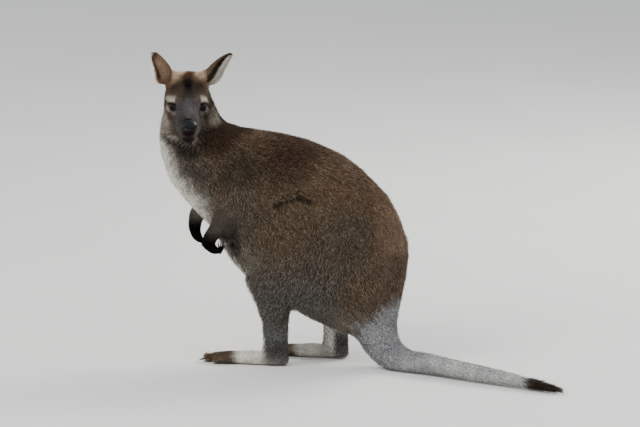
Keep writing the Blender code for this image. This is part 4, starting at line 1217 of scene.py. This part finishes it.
def make_ear(name):
    """Ear leaf and its hair: short on the back, longer and pale along the margins."""
    points, outer, at, share, course = ear_points(name)
    rim = abs(at) ** 6
    triangles = halved(np.vstack((grid_quads(EAR_ROWS, EAR_COLUMNS), ear_caps())))
    leaf = array_mesh(f"{name}_ear_leaf", points, triangles,
                      {"marking": ear_markings(share, outer, at, name)},
                      {"along": np.full(len(points), 0.5), "shade": np.ones(len(points))})
    form = opened([leaf.data])
    bmesh.ops.recalc_face_normals(form, faces=form.faces)
    written(form, leaf.data)
    weights = (0.25 + 0.75 * outer + 1.2 * ramp(rim, 0.3, 0.8))[triangles].mean(1)
    weights *= (share > -0.04)[triangles].all(1)
    faces, corners = scattered(points, triangles, weights, EAR_HAIRS, 41)
    roots, normals, up, edge, back, turned = (
        carried(values, faces, corners)
        for values in (points, normals_of(leaf.data), share, rim, outer.astype(float), at))
    normals = unit(normals)
    lies = coat_lies(roots, normals, np.tile(course, (len(roots), 1)), 43)
    dice = np.random.default_rng(44)
    lengths = 0.0058 + 0.0045 * edge + 0.004 * (1 - np.clip(up, 0, 1))
    lengths *= dice.uniform(0.7, 1.2, len(roots))
    widths = 0.0008 * dice.uniform(0.7, 1.3, len(roots))
    depths = lengths * (0.16 + 0.12 * edge)
    colours = ear_markings(up, back > 0.5, turned, name)
    map_turn = np.arctan2(edge - 0.5, back - 0.5) / (2 * math.pi) + 0.5
    hair = tuft_piece(f"coat_{name}_ear", (roots, normals, lies, lengths, widths, depths), colours,
                      np.clip(np.column_stack((up, map_turn)), 0, 1), 45, False)
    return leaf, hair


# --- Eyes, lids, nose and claws --------------------------------------------------------------
CORNEA = 0.0007              # how far the cornea bulges
RIM_THICK = 0.00090          # half thickness of the lids' bare rim
UPPER_RIM_MORE = 0.00055     # by how much the upper one is thicker


def make_eye(side, name):
    """Eyeball as a sphere about its gaze, with a cornea that bulges over the iris."""
    rows, columns = 40, 48
    centre, *axes = eye_frame(side)
    ways, gaze = round_ways(rows, columns, 0.001, math.pi - 0.001)
    reach = EYE_RADIUS + CORNEA * (1 - ramp(gaze, 0.50, 0.80))
    points = centre + ways @ np.array(axes) * reach[:, None]
    return head_piece(f"{name}_eyeball", points, halved(grid_quads(rows, columns)), {"gaze": gaze})


def smooth_loop(path, rounds):
    """A closed path with each point drawn halfway to its neighbours' middle, some rounds over."""
    for _ in range(rounds):
        path = 0.5 * path + 0.25 * (np.roll(path, 1, axis=0) + np.roll(path, -1, axis=0))
    return path


def make_lids(side, name):
    """Dark bare rim round each eye: a round bead carried along the opening's almond outline."""
    rows, columns = 96, 10
    centre, outward, back, up = eye_frame(side)
    turn = turns(rows)
    across = np.cos(turn) * 1.04
    low, high = lid_gap(np.clip(across, -1, 1))
    v = np.where(np.sin(turn) >= 0, high, low)
    u = across * LID_LONG
    ball = EYE_RADIUS + 0.0005
    w = np.sqrt(ball ** 2 - np.minimum(u ** 2 + v ** 2, ball ** 2 * 0.9))
    path = centre + outward * w[:, None] + back * u[:, None] + up * v[:, None]
    path = smooth_loop(path, 3)
    normal = unit(path - centre)
    beside = np.cross(unit(np.roll(path, -1, axis=0) - np.roll(path, 1, axis=0)), normal)
    thick = RIM_THICK + UPPER_RIM_MORE * (np.sin(turn) > 0)
    points = tube_points(path, beside, normal, thick * 1.15, thick, columns)
    return head_piece(f"{name}_eyelid_rim", points, halved(grid_quads(rows, columns, ring=True)))


def make_nose():
    """Nose pad: the front of an ellipsoid with two swollen wings, comma nostrils and a cleft.

    Each is a depth times bell shapes across the nose and up it.
    """
    rows, columns = 90, 128
    ways, _ = round_ways(rows, columns, 0.002, 1.75)
    head = NOSE_MIDDLE + ways * NOSE_SIZES * 1.03
    aside, up = abs(head[:, 1]), head[:, 2]
    wing = hump(aside, 0.0125, 0.0052) * hump(up, -0.0020, 0.0042)
    nostril = hump(aside, 0.0096 + 0.35 * (up + 0.0090), 0.0030) * hump(up, -0.0086, 0.0027)
    comma = hump(aside, 0.0142, 0.0034) * hump(up, -0.0062, 0.0015)
    cleft = hump(aside, 0, 0.0012) * ramp(-up, -0.002, 0.008)
    dip = hump(aside, 0, 0.0052) * hump(up, -0.0010, 0.0050)
    head[:, 0] += (0.0024 * wing - 0.0058 * nostril - 0.0026 * comma - 0.0014 * cleft
                   - 0.0012 * dip)
    hole = np.clip(nostril * 1.3 + 0.6 * comma, 0, 1)
    return head_piece("nose_pad", head, halved(grid_quads(rows, columns)), {"hole": hole})


def make_claws(name, nodes):
    """Smooth horn claws on the CAD's: each cone rounded by subdivision."""
    mesh = written(joined_nodes(nodes), bpy.data.meshes.new(name))
    piece = linked(name, mesh)
    step = piece.modifiers.new("round", "SUBSURF")
    step.levels = step.render_levels = 2
    applied(piece)
    piece.data.shade_smooth()
    return piece


# --- Whiskers --------------------------------------------------------------------------------
LIP_ROWS = 4
# (first spot forward, aside and up; step back, how many; length, growth with each; radius)
WHISKER_ROWS = [((0.070, 0.026, -0.0165 - 0.0048 * row), 0.0068, 6, 0.020, 0.0052, 0.00022)
                for row in range(LIP_ROWS)]
WHISKER_ROWS += [((0.006, 0.030, 0.019), 0.006, 4, 0.024, 0.003, 0.00020),          # brow
                 ((-0.006, 0.050, -0.026), 0.006, 3, 0.026, 0.0, 0.00020),          # cheek
                 ((0.052, 0.010, -0.060), 0.008, 5, 0.016, 0.0, 0.00018)]           # chin
WHISKER_DRIFT = (-0.55, 0, -0.18)          # the way that whiskers bow


def make_whiskers(skin):
    """Tapered bristles on the lips, the brows and the cheeks, each a thin tube along a bow.

    A bristle starts inside the skin, leaves it along its normal and bows back with the square of
    its length.
    """
    dice = np.random.default_rng(61)
    head, normals = in_head(points_of(skin.data)), normals_of(skin.data) @ HEAD_AXES.T
    steps, sides = 9, 5
    share = np.linspace(0, 1, steps)
    tubes = []
    spots = [((forward - step * k, side * aside, up), length + growth * k, radius)
             for _, side in SIDES
             for (forward, aside, up), step, number, length, growth, radius in WHISKER_ROWS
             for k in range(number)]
    for spot, length, radius in spots:
        at = np.argmin(np.linalg.norm(head - np.array(spot), axis=1))
        root, up = head[at], normals[at]
        length *= dice.uniform(0.8, 1.25)
        drift = np.array(WHISKER_DRIFT) + dice.normal(0, 0.10, 3)
        way = unit(up + 0.35 * drift)
        curve = (root - up * 0.001 + way * (share * length)[:, None]
                 + drift * (length * 0.55 * share ** 2)[:, None])
        course = unit(np.gradient(curve, axis=0))
        beside = unit(np.cross(course, (0.1, 0.2, 1.0)))
        size = radius * (1 - 0.9 * share)
        tubes.append(tube_points(curve, beside, np.cross(course, beside), size, size, sides))
    fan = np.array([(0, k + 1, k) for k in range(1, sides - 1)])
    tube = np.vstack((halved(grid_quads(steps, sides)), fan, (steps - 1) * sides + fan[:, ::-1]))
    faces = np.vstack([tube + first * steps * sides for first in range(len(tubes))])
    return head_piece("whiskers", np.vstack(tubes), faces)


# --- Finishes --------------------------------------------------------------------------------
NODE_STEP = 180              # from one node to the next in the editor


def feed(tree, given, socket):
    """Links an output to a socket, or sets the socket to a number or a colour."""
    if hasattr(given, "is_output"):
        tree.links.new(given, socket)
    else:
        socket.default_value = (*given, 1) if isinstance(given, tuple) else given


def node(tree, kind, feeds=None, **facts):
    """A new node beside the last one, with its facts set and its sockets fed."""
    made = tree.nodes.new(kind)
    made.location = (NODE_STEP * len(tree.nodes), 0)
    for name, value in facts.items():
        setattr(made, name, value)
    for socket, given in (feeds or {}).items():
        feed(tree, given, made.inputs[socket])
    return made


def maths(tree, way, first, second, clamp=False):
    """Result of a Math node on two outputs or numbers."""
    return node(tree, "ShaderNodeMath", {0: first, 1: second}, operation=way,
                use_clamp=clamp).outputs[0]


def product(tree, first, *others):
    """The first value times each of the others."""
    for other in others:
        first = maths(tree, "MULTIPLY", first, other)
    return first


def mix_node(tree, share, first, second):
    """Mixture of two colours by a share."""
    return node(tree, "ShaderNodeMix", {0: share, 6: first, 7: second},
                data_type="RGBA").outputs[2]


def scaled(tree, colour, light):
    """A colour times a value."""
    return node(tree, "ShaderNodeVectorMath", {0: colour, "Scale": light},
                operation="SCALE").outputs[0]


def attribute(tree, name, output="Fac"):
    """A named value or colour of the piece's points."""
    return node(tree, "ShaderNodeAttribute", attribute_name=name).outputs[output]


def object_places(tree):
    """Object coordinates."""
    return node(tree, "ShaderNodeTexCoord").outputs["Object"]


def noise(tree, places, scale, detail, stretch=None):
    """Noise on Object coordinates, drawn out along an axis where stretch is given."""
    if stretch:
        turned = node(tree, "ShaderNodeMapping", {"Vector": places})
        turned.inputs["Scale"].default_value = stretch
        places = turned.outputs[0]
    return node(tree, "ShaderNodeTexNoise", {"Vector": places, "Scale": scale,
                                             "Detail": detail}).outputs["Fac"]


def spread(tree, value, low, high, out_low=0.0, out_high=1.0):
    """Value between low and high as a share between out_low and out_high, kept inside them."""
    return node(tree, "ShaderNodeMapRange",
                {"Value": value, "From Min": low, "From Max": high, "To Min": out_low,
                 "To Max": out_high}).outputs["Result"]


def new_group(name, inputs):
    """Shader node group and its named inputs, with outputs Colour, Roughness and Height."""
    group = bpy.data.node_groups.new(name, "ShaderNodeTree")
    for title, value in inputs.items():
        kind = "NodeSocketColor" if isinstance(value, tuple) else "NodeSocketFloat"
        feed(group, value, group.interface.new_socket(title, in_out="INPUT", socket_type=kind))
    group.interface.new_socket("Colour", in_out="OUTPUT", socket_type="NodeSocketColor")
    for title in ("Roughness", "Height"):
        group.interface.new_socket(title, in_out="OUTPUT", socket_type="NodeSocketFloat")
    return group, node(group, "NodeGroupInput").outputs


def coat_group():
    """Colour of fur: the piece's marking, darker at the roots, with pale bands on some locks.

    Each lock has its own tone and shade. Smooth noise a few centimetres and a few millimetres
    across varies them over the body, and a third noise between them lights and darkens clumps
    by the strength of the bands. Dark fur bears weaker bands and pale fur lighter roots.
    """
    group, given = new_group("coat_colour", {"Root depth": 0.5, "Band strength": 0.5,
                                             "Band colour": (0.4, 0.36, 0.3)})
    places = object_places(group)
    marking = attribute(group, "marking", "Color")
    along = attribute(group, "along")
    broad, fine = noise(group, places, 28, 2), noise(group, places, 420, 2)
    grey = node(group, "ShaderNodeRGBToBW", {0: marking}).outputs[0]
    clumps = spread(group, noise(group, places, 300, 2), 0.36, 0.64, -0.85, 0.85)
    clumps = maths(group, "ADD", product(group, clumps, given["Band strength"]), 1.0)
    root = maths(group, "ADD", maths(group, "SUBTRACT", 1.0, given["Root depth"]),
                 spread(group, grey, 0.10, 0.60, 0.0, 0.35), clamp=True)
    deep = node(group, "ShaderNodeMix", {0: spread(group, along, 0.05, 0.60), 2: root, 3: 1.0},
                data_type="FLOAT").outputs[0]
    light = product(group, attribute(group, "shade"), spread(group, broad, 0.3, 0.7, 0.86, 1.14),
                    spread(group, fine, 0.3, 0.7, 0.85, 1.15), clumps, deep)
    band = product(group, spread(group, attribute(group, "tone"), 0.68, 0.86),
                   product(group, spread(group, along, 0.50, 0.66),
                           spread(group, along, 0.98, 0.84)),
                   given["Band strength"])
    band = maths(group, "MULTIPLY", band, spread(group, grey, 0.012, 0.075, 0.10, 1.0),
                 clamp=True)
    node(group, "NodeGroupOutput",
         {"Colour": mix_node(group, band, scaled(group, marking, light), given["Band colour"]),
          "Roughness": spread(group, fine, 0.3, 0.7, 0.62, 0.85), "Height": fine})
    return group


def leather_group():
    """Bare skin: small cells with creases between them darkened by painted shade, and a slow change
    of tint and gloss.
    """
    group, given = new_group("bare_skin_grain", {"Colour": (0.02, 0.02, 0.02),
                                                 "Cell scale": 900.0})
    places = object_places(group)
    cells = node(group, "ShaderNodeTexVoronoi",
                 {"Vector": places, "Scale": given["Cell scale"]}, feature="DISTANCE_TO_EDGE")
    creased = spread(group, cells.outputs["Distance"], 0.0, 0.16)
    blotch = noise(group, places, 160, 3)
    # painted shade: colour darker in the creases between the cells
    tint = product(group, spread(group, blotch, 0.3, 0.7, 0.65, 1.45),
                   spread(group, creased, 0.0, 1.0, 0.6, 1.0))
    node(group, "NodeGroupOutput",
         {"Colour": scaled(group, given["Colour"], tint),
          "Roughness": spread(group, blotch, 0.3, 0.7, 0.28, 0.50), "Height": creased})
    return group


def finish(name, **plain):
    """Material with a Principled shader; plain gives the shader's own constants."""
    material = bpy.data.materials.new(name)
    material.use_nodes = True
    shader = material.node_tree.nodes["Principled BSDF"]
    for title, value in plain.items():
        shader.inputs[title.replace("_", " ")].default_value = value
    return material, material.node_tree, shader


def dressed(material, shader, colour, roughness, bump=None):
    """The material with its colour and roughness fed, and a bump: (height, strength, distance)."""
    tree = material.node_tree
    feed(tree, colour, shader.inputs["Base Color"])
    feed(tree, roughness, shader.inputs["Roughness"])
    if bump:
        raised = node(tree, "ShaderNodeBump", dict(zip(("Height", "Strength", "Distance"), bump)))
        feed(tree, raised.outputs[0], shader.inputs["Normal"])
    return material


def grouped(name, group, values, strength, distance, **plain):
    """Material whose colour, roughness and bump come from a group, given values for its inputs."""
    material, tree, shader = finish(name, **plain)
    given = node(tree, "ShaderNodeGroup", values, node_tree=group).outputs
    return dressed(material, shader, given["Colour"], given["Roughness"],
                   (given["Height"], strength, distance))


def fur_finish(name, group, root_depth, band, band_colour, sheen, gloss):
    """Fur: how dark its roots are, how strong its pale bands and of what colour, and its gloss."""
    return grouped(name, group, {"Root depth": root_depth, "Band strength": band,
                                 "Band colour": band_colour}, 0.25, 0.0006,
                   Sheen_Weight=sheen, Sheen_Roughness=0.45, Specular_IOR_Level=gloss)


def leather_finish(name, group, colour, scale, coat_weight, gloss, bump):
    """Bare skin: its colour, how fine its cells are, its wetness, gloss and relief."""
    return grouped(name, group, {"Colour": colour, "Cell scale": scale}, 0.5, bump,
                   Coat_Weight=coat_weight, Coat_Roughness=0.18, Specular_IOR_Level=gloss)


def eye_finish():
    """Dark wet eye: black pupil, brown streaked iris and a nearly black rim, by the gaze angle."""
    material, tree, shader = finish("wet_eye", Coat_Weight=0.04, Coat_Roughness=0.02,
                                    Specular_IOR_Level=0.05)
    streaks = noise(tree, object_places(tree), 900, 4)
    edge = maths(tree, "ADD", attribute(tree, "gaze"),
                 spread(tree, streaks, 0.3, 0.7, -0.04, 0.04))
    iris = mix_node(tree, spread(tree, streaks, 0.35, 0.65), (0.010, 0.005, 0.003),
                    (0.034, 0.016, 0.008))
    pupil = mix_node(tree, spread(tree, edge, 0.40, 0.46), (0.001, 0.001, 0.001), iris)
    rim = mix_node(tree, spread(tree, edge, 0.84, 0.96), pupil, (0.006, 0.004, 0.003))
    return dressed(material, shader, rim, spread(tree, streaks, 0.2, 0.8, 0.03, 0.09))


def claw_finish():
    """Horn: dark, with pale streaks along the claw, and fine scratches in its gloss."""
    material, tree, shader = finish("claw_horn", Coat_Weight=0.3, Coat_Roughness=0.25)
    places = object_places(tree)
    streaks = noise(tree, places, 60, 4, stretch=(1, 5, 5))
    scratches = noise(tree, places, 1500, 2, stretch=(0.3, 1, 1))
    colour = mix_node(tree, spread(tree, streaks, 0.35, 0.70), (0.012, 0.010, 0.009),
                      (0.060, 0.050, 0.042))
    return dressed(material, shader, colour, spread(tree, scratches, 0.3, 0.7, 0.25, 0.50),
                   (scratches, 0.3, 0.0002))


def whisker_finish():
    """Bristles: nearly black, paler where the noise along them is high."""
    material, tree, shader = finish("whisker_bristle", Specular_IOR_Level=0.4)
    tint = noise(tree, object_places(tree), 300, 2)
    colour = mix_node(tree, spread(tree, tint, 0.4, 0.65), (0.010, 0.009, 0.008),
                      (0.120, 0.110, 0.095))
    return dressed(material, shader, colour, spread(tree, tint, 0.3, 0.7, 0.35, 0.55))


def floor_finish():
    """Pale floor with a faint, slow change of tone."""
    material, tree, shader = finish("pale_floor")
    grain = noise(tree, object_places(tree), 2.2, 4)
    colour = mix_node(tree, grain, (0.66, 0.66, 0.65), (0.72, 0.72, 0.71))
    return dressed(material, shader, colour, spread(tree, grain, 0.3, 0.7, 0.75, 0.85))


# --- Each piece's finish and body, and the CAD nodes it stands for ---------------------------
def settle(piece, material, nodes=()):
    """Gives the piece its finish and its body, and hides the CAD nodes it stands for."""
    piece.data.materials.clear()
    piece.data.materials.append(material)
    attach(piece, "root")
    if nodes:
        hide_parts(*nodes)


CLOSE_COATS = ("coat_face", "coat_jaw", "coat_crown", "coat_hands", "coat_feet")
TOES = ("long", "outer", "inner")
FINGERS = 5


def make_skin_and_coat():
    """The skin with its face, and the coat on it: (skin, under fur's finish, close fur's)."""
    coat = coat_group()
    skin = make_skin()
    sculpt_head(skin)
    points = points_of(skin.data)
    shares, _ = bone_shares(points - SHIFT)
    set_points(skin.data, {"marking": markings(points, shares)},
               {"along": np.full(len(points), 0.20), "shade": np.ones(len(points)),
                "tone": np.zeros(len(points))})
    under = fur_finish("under_fur", coat, 0.55, 0.0, (0.3, 0.28, 0.24), 0.0, 0.06)
    long_fur = fur_finish("grizzled_coat", coat, 0.55, 0.80, (0.360, 0.290, 0.210), 0.02, 0.12)
    close_fur = fur_finish("close_coat", coat, 0.50, 0.25, (0.260, 0.220, 0.175), 0.0, 0.03)
    settle(skin, under, FLESH)
    for piece in make_coat(skin):
        settle(piece, close_fur if piece.name in CLOSE_COATS else long_fur)
    return skin, under, close_fur


def make_wallaby():
    """Every shown piece of the animal."""
    skin, under, close_fur = make_skin_and_coat()
    leather = leather_group()
    bare_skin = leather_finish("dark_bare_skin", leather, (0.003, 0.0025, 0.0025), 900.0, 0.03,
                               0.10, 0.00015)
    wet_nose = leather_finish("wet_nose", leather, (0.0030, 0.0030, 0.0038), 1100.0, 0.10, 0.13,
                              0.00014)
    eye, horn = eye_finish(), claw_finish()
    for name, side in SIDES:
        leaf, hair = make_ear(name)
        settle(leaf, under, [f"{name}_ear"])
        settle(hair, close_fur)
        settle(make_eye(side, name), eye, [f"{name}_eye"])
        settle(make_lids(side, name), bare_skin)
    settle(make_nose(), wet_nose, ["nose"])
    for name, _ in SIDES:
        toes = [f"{name}_{toe}_toe_claw" for toe in TOES]
        settle(make_claws(f"{name}_foot_claws", toes), horn, toes)
        fingers = [f"{name}_finger_claw_{digit}" for digit in range(1, FINGERS + 1)]
        settle(make_claws(f"{name}_hand_claws", fingers), horn, fingers)
    settle(make_whiskers(skin), whisker_finish())


# --- Floor, light and camera -----------------------------------------------------------------
CAMERA_AZIMUTH = math.radians(14)
CAMERA_HEIGHT_ANGLE = math.radians(10)
CAMERA_DISTANCE = 12.0
FRAME_WIDTH = 1.504          # width of the view at the animal
AIM_RIGHT, AIM_UP = 0.047, 0.3445
SENSOR = 36.0
FLOOR_REACH = 30.0
SKY_COLOUR, SKY_STRENGTH = (0.95, 0.97, 1.0), 0.95
LIGHTS_AIM = (0.05, 0, 0.35)
LIGHTS = (                   # name, place, size, watts, colour
    ("key_light", (-2.2, -3.0, 3.2), (2.6, 2.6), 190, (1.0, 0.97, 0.93)),
    ("back_light", (1.6, 3.0, 2.6), (2.2, 1.6), 170, (1.0, 0.96, 0.90)),
    ("fill_light", (3.2, -1.6, 1.6), (2.6, 2.6), 40, (0.93, 0.96, 1.0)),
)


def camera_axes():
    """(right, up, back) of the camera, by its azimuth and its angle above the floor."""
    a, e = CAMERA_AZIMUTH, CAMERA_HEIGHT_ANGLE
    right = Vector((math.cos(a), math.sin(a), 0))
    back = Vector((math.sin(a) * math.cos(e), -math.cos(a) * math.cos(e), math.sin(e)))
    return right, back.cross(right), back


def softbox(name, place, size, watts, colour):
    """A square-edged area light turned towards the animal's middle."""
    light = bpy.data.lights.new(name, "AREA")
    light.shape = "RECTANGLE"
    light.size, light.size_y = size
    light.energy = watts
    light.color = colour
    backwards = Vector(place) - Vector(tuple(SHIFT + np.array(LIGHTS_AIM)))
    turn = backwards.to_track_quat("Z", "Y").to_matrix().to_4x4()
    linked(name, light).matrix_world = Matrix.Translation(place) @ turn


def make_floor():
    """A broad flat floor at height zero, which belongs to the stage."""
    corners = np.array(((-1, -1, 0), (1, -1, 0), (1, 1, 0), (-1, 1, 0))) * FLOOR_REACH
    floor = array_mesh("floor", corners, np.array(((0, 1, 2, 3),)), smooth=False)
    floor.data.materials.append(floor_finish())


def make_studio():
    """Floor, sky, three soft lights and the camera."""
    make_floor()
    world = bpy.data.worlds.new("soft_sky")
    bpy.context.scene.world = world
    world.use_nodes = True
    sky = world.node_tree.nodes["Background"]
    sky.inputs["Color"].default_value = (*SKY_COLOUR, 1)
    sky.inputs["Strength"].default_value = SKY_STRENGTH
    for light in LIGHTS:
        softbox(*light)
    right, up, back = camera_axes()
    camera = bpy.data.cameras.new("camera")
    camera.sensor_width = SENSOR
    camera.lens = SENSOR * CAMERA_DISTANCE / FRAME_WIDTH
    camera.clip_end = 100
    aim = right * AIM_RIGHT + up * AIM_UP + Vector(SHIFT)
    holder = linked("camera", camera)
    holder.matrix_world = (Matrix.Translation(aim + back * CAMERA_DISTANCE)
                           @ Matrix((right, up, back)).transposed().to_4x4())
    bpy.context.scene.camera = holder


make_wallaby()
make_studio()
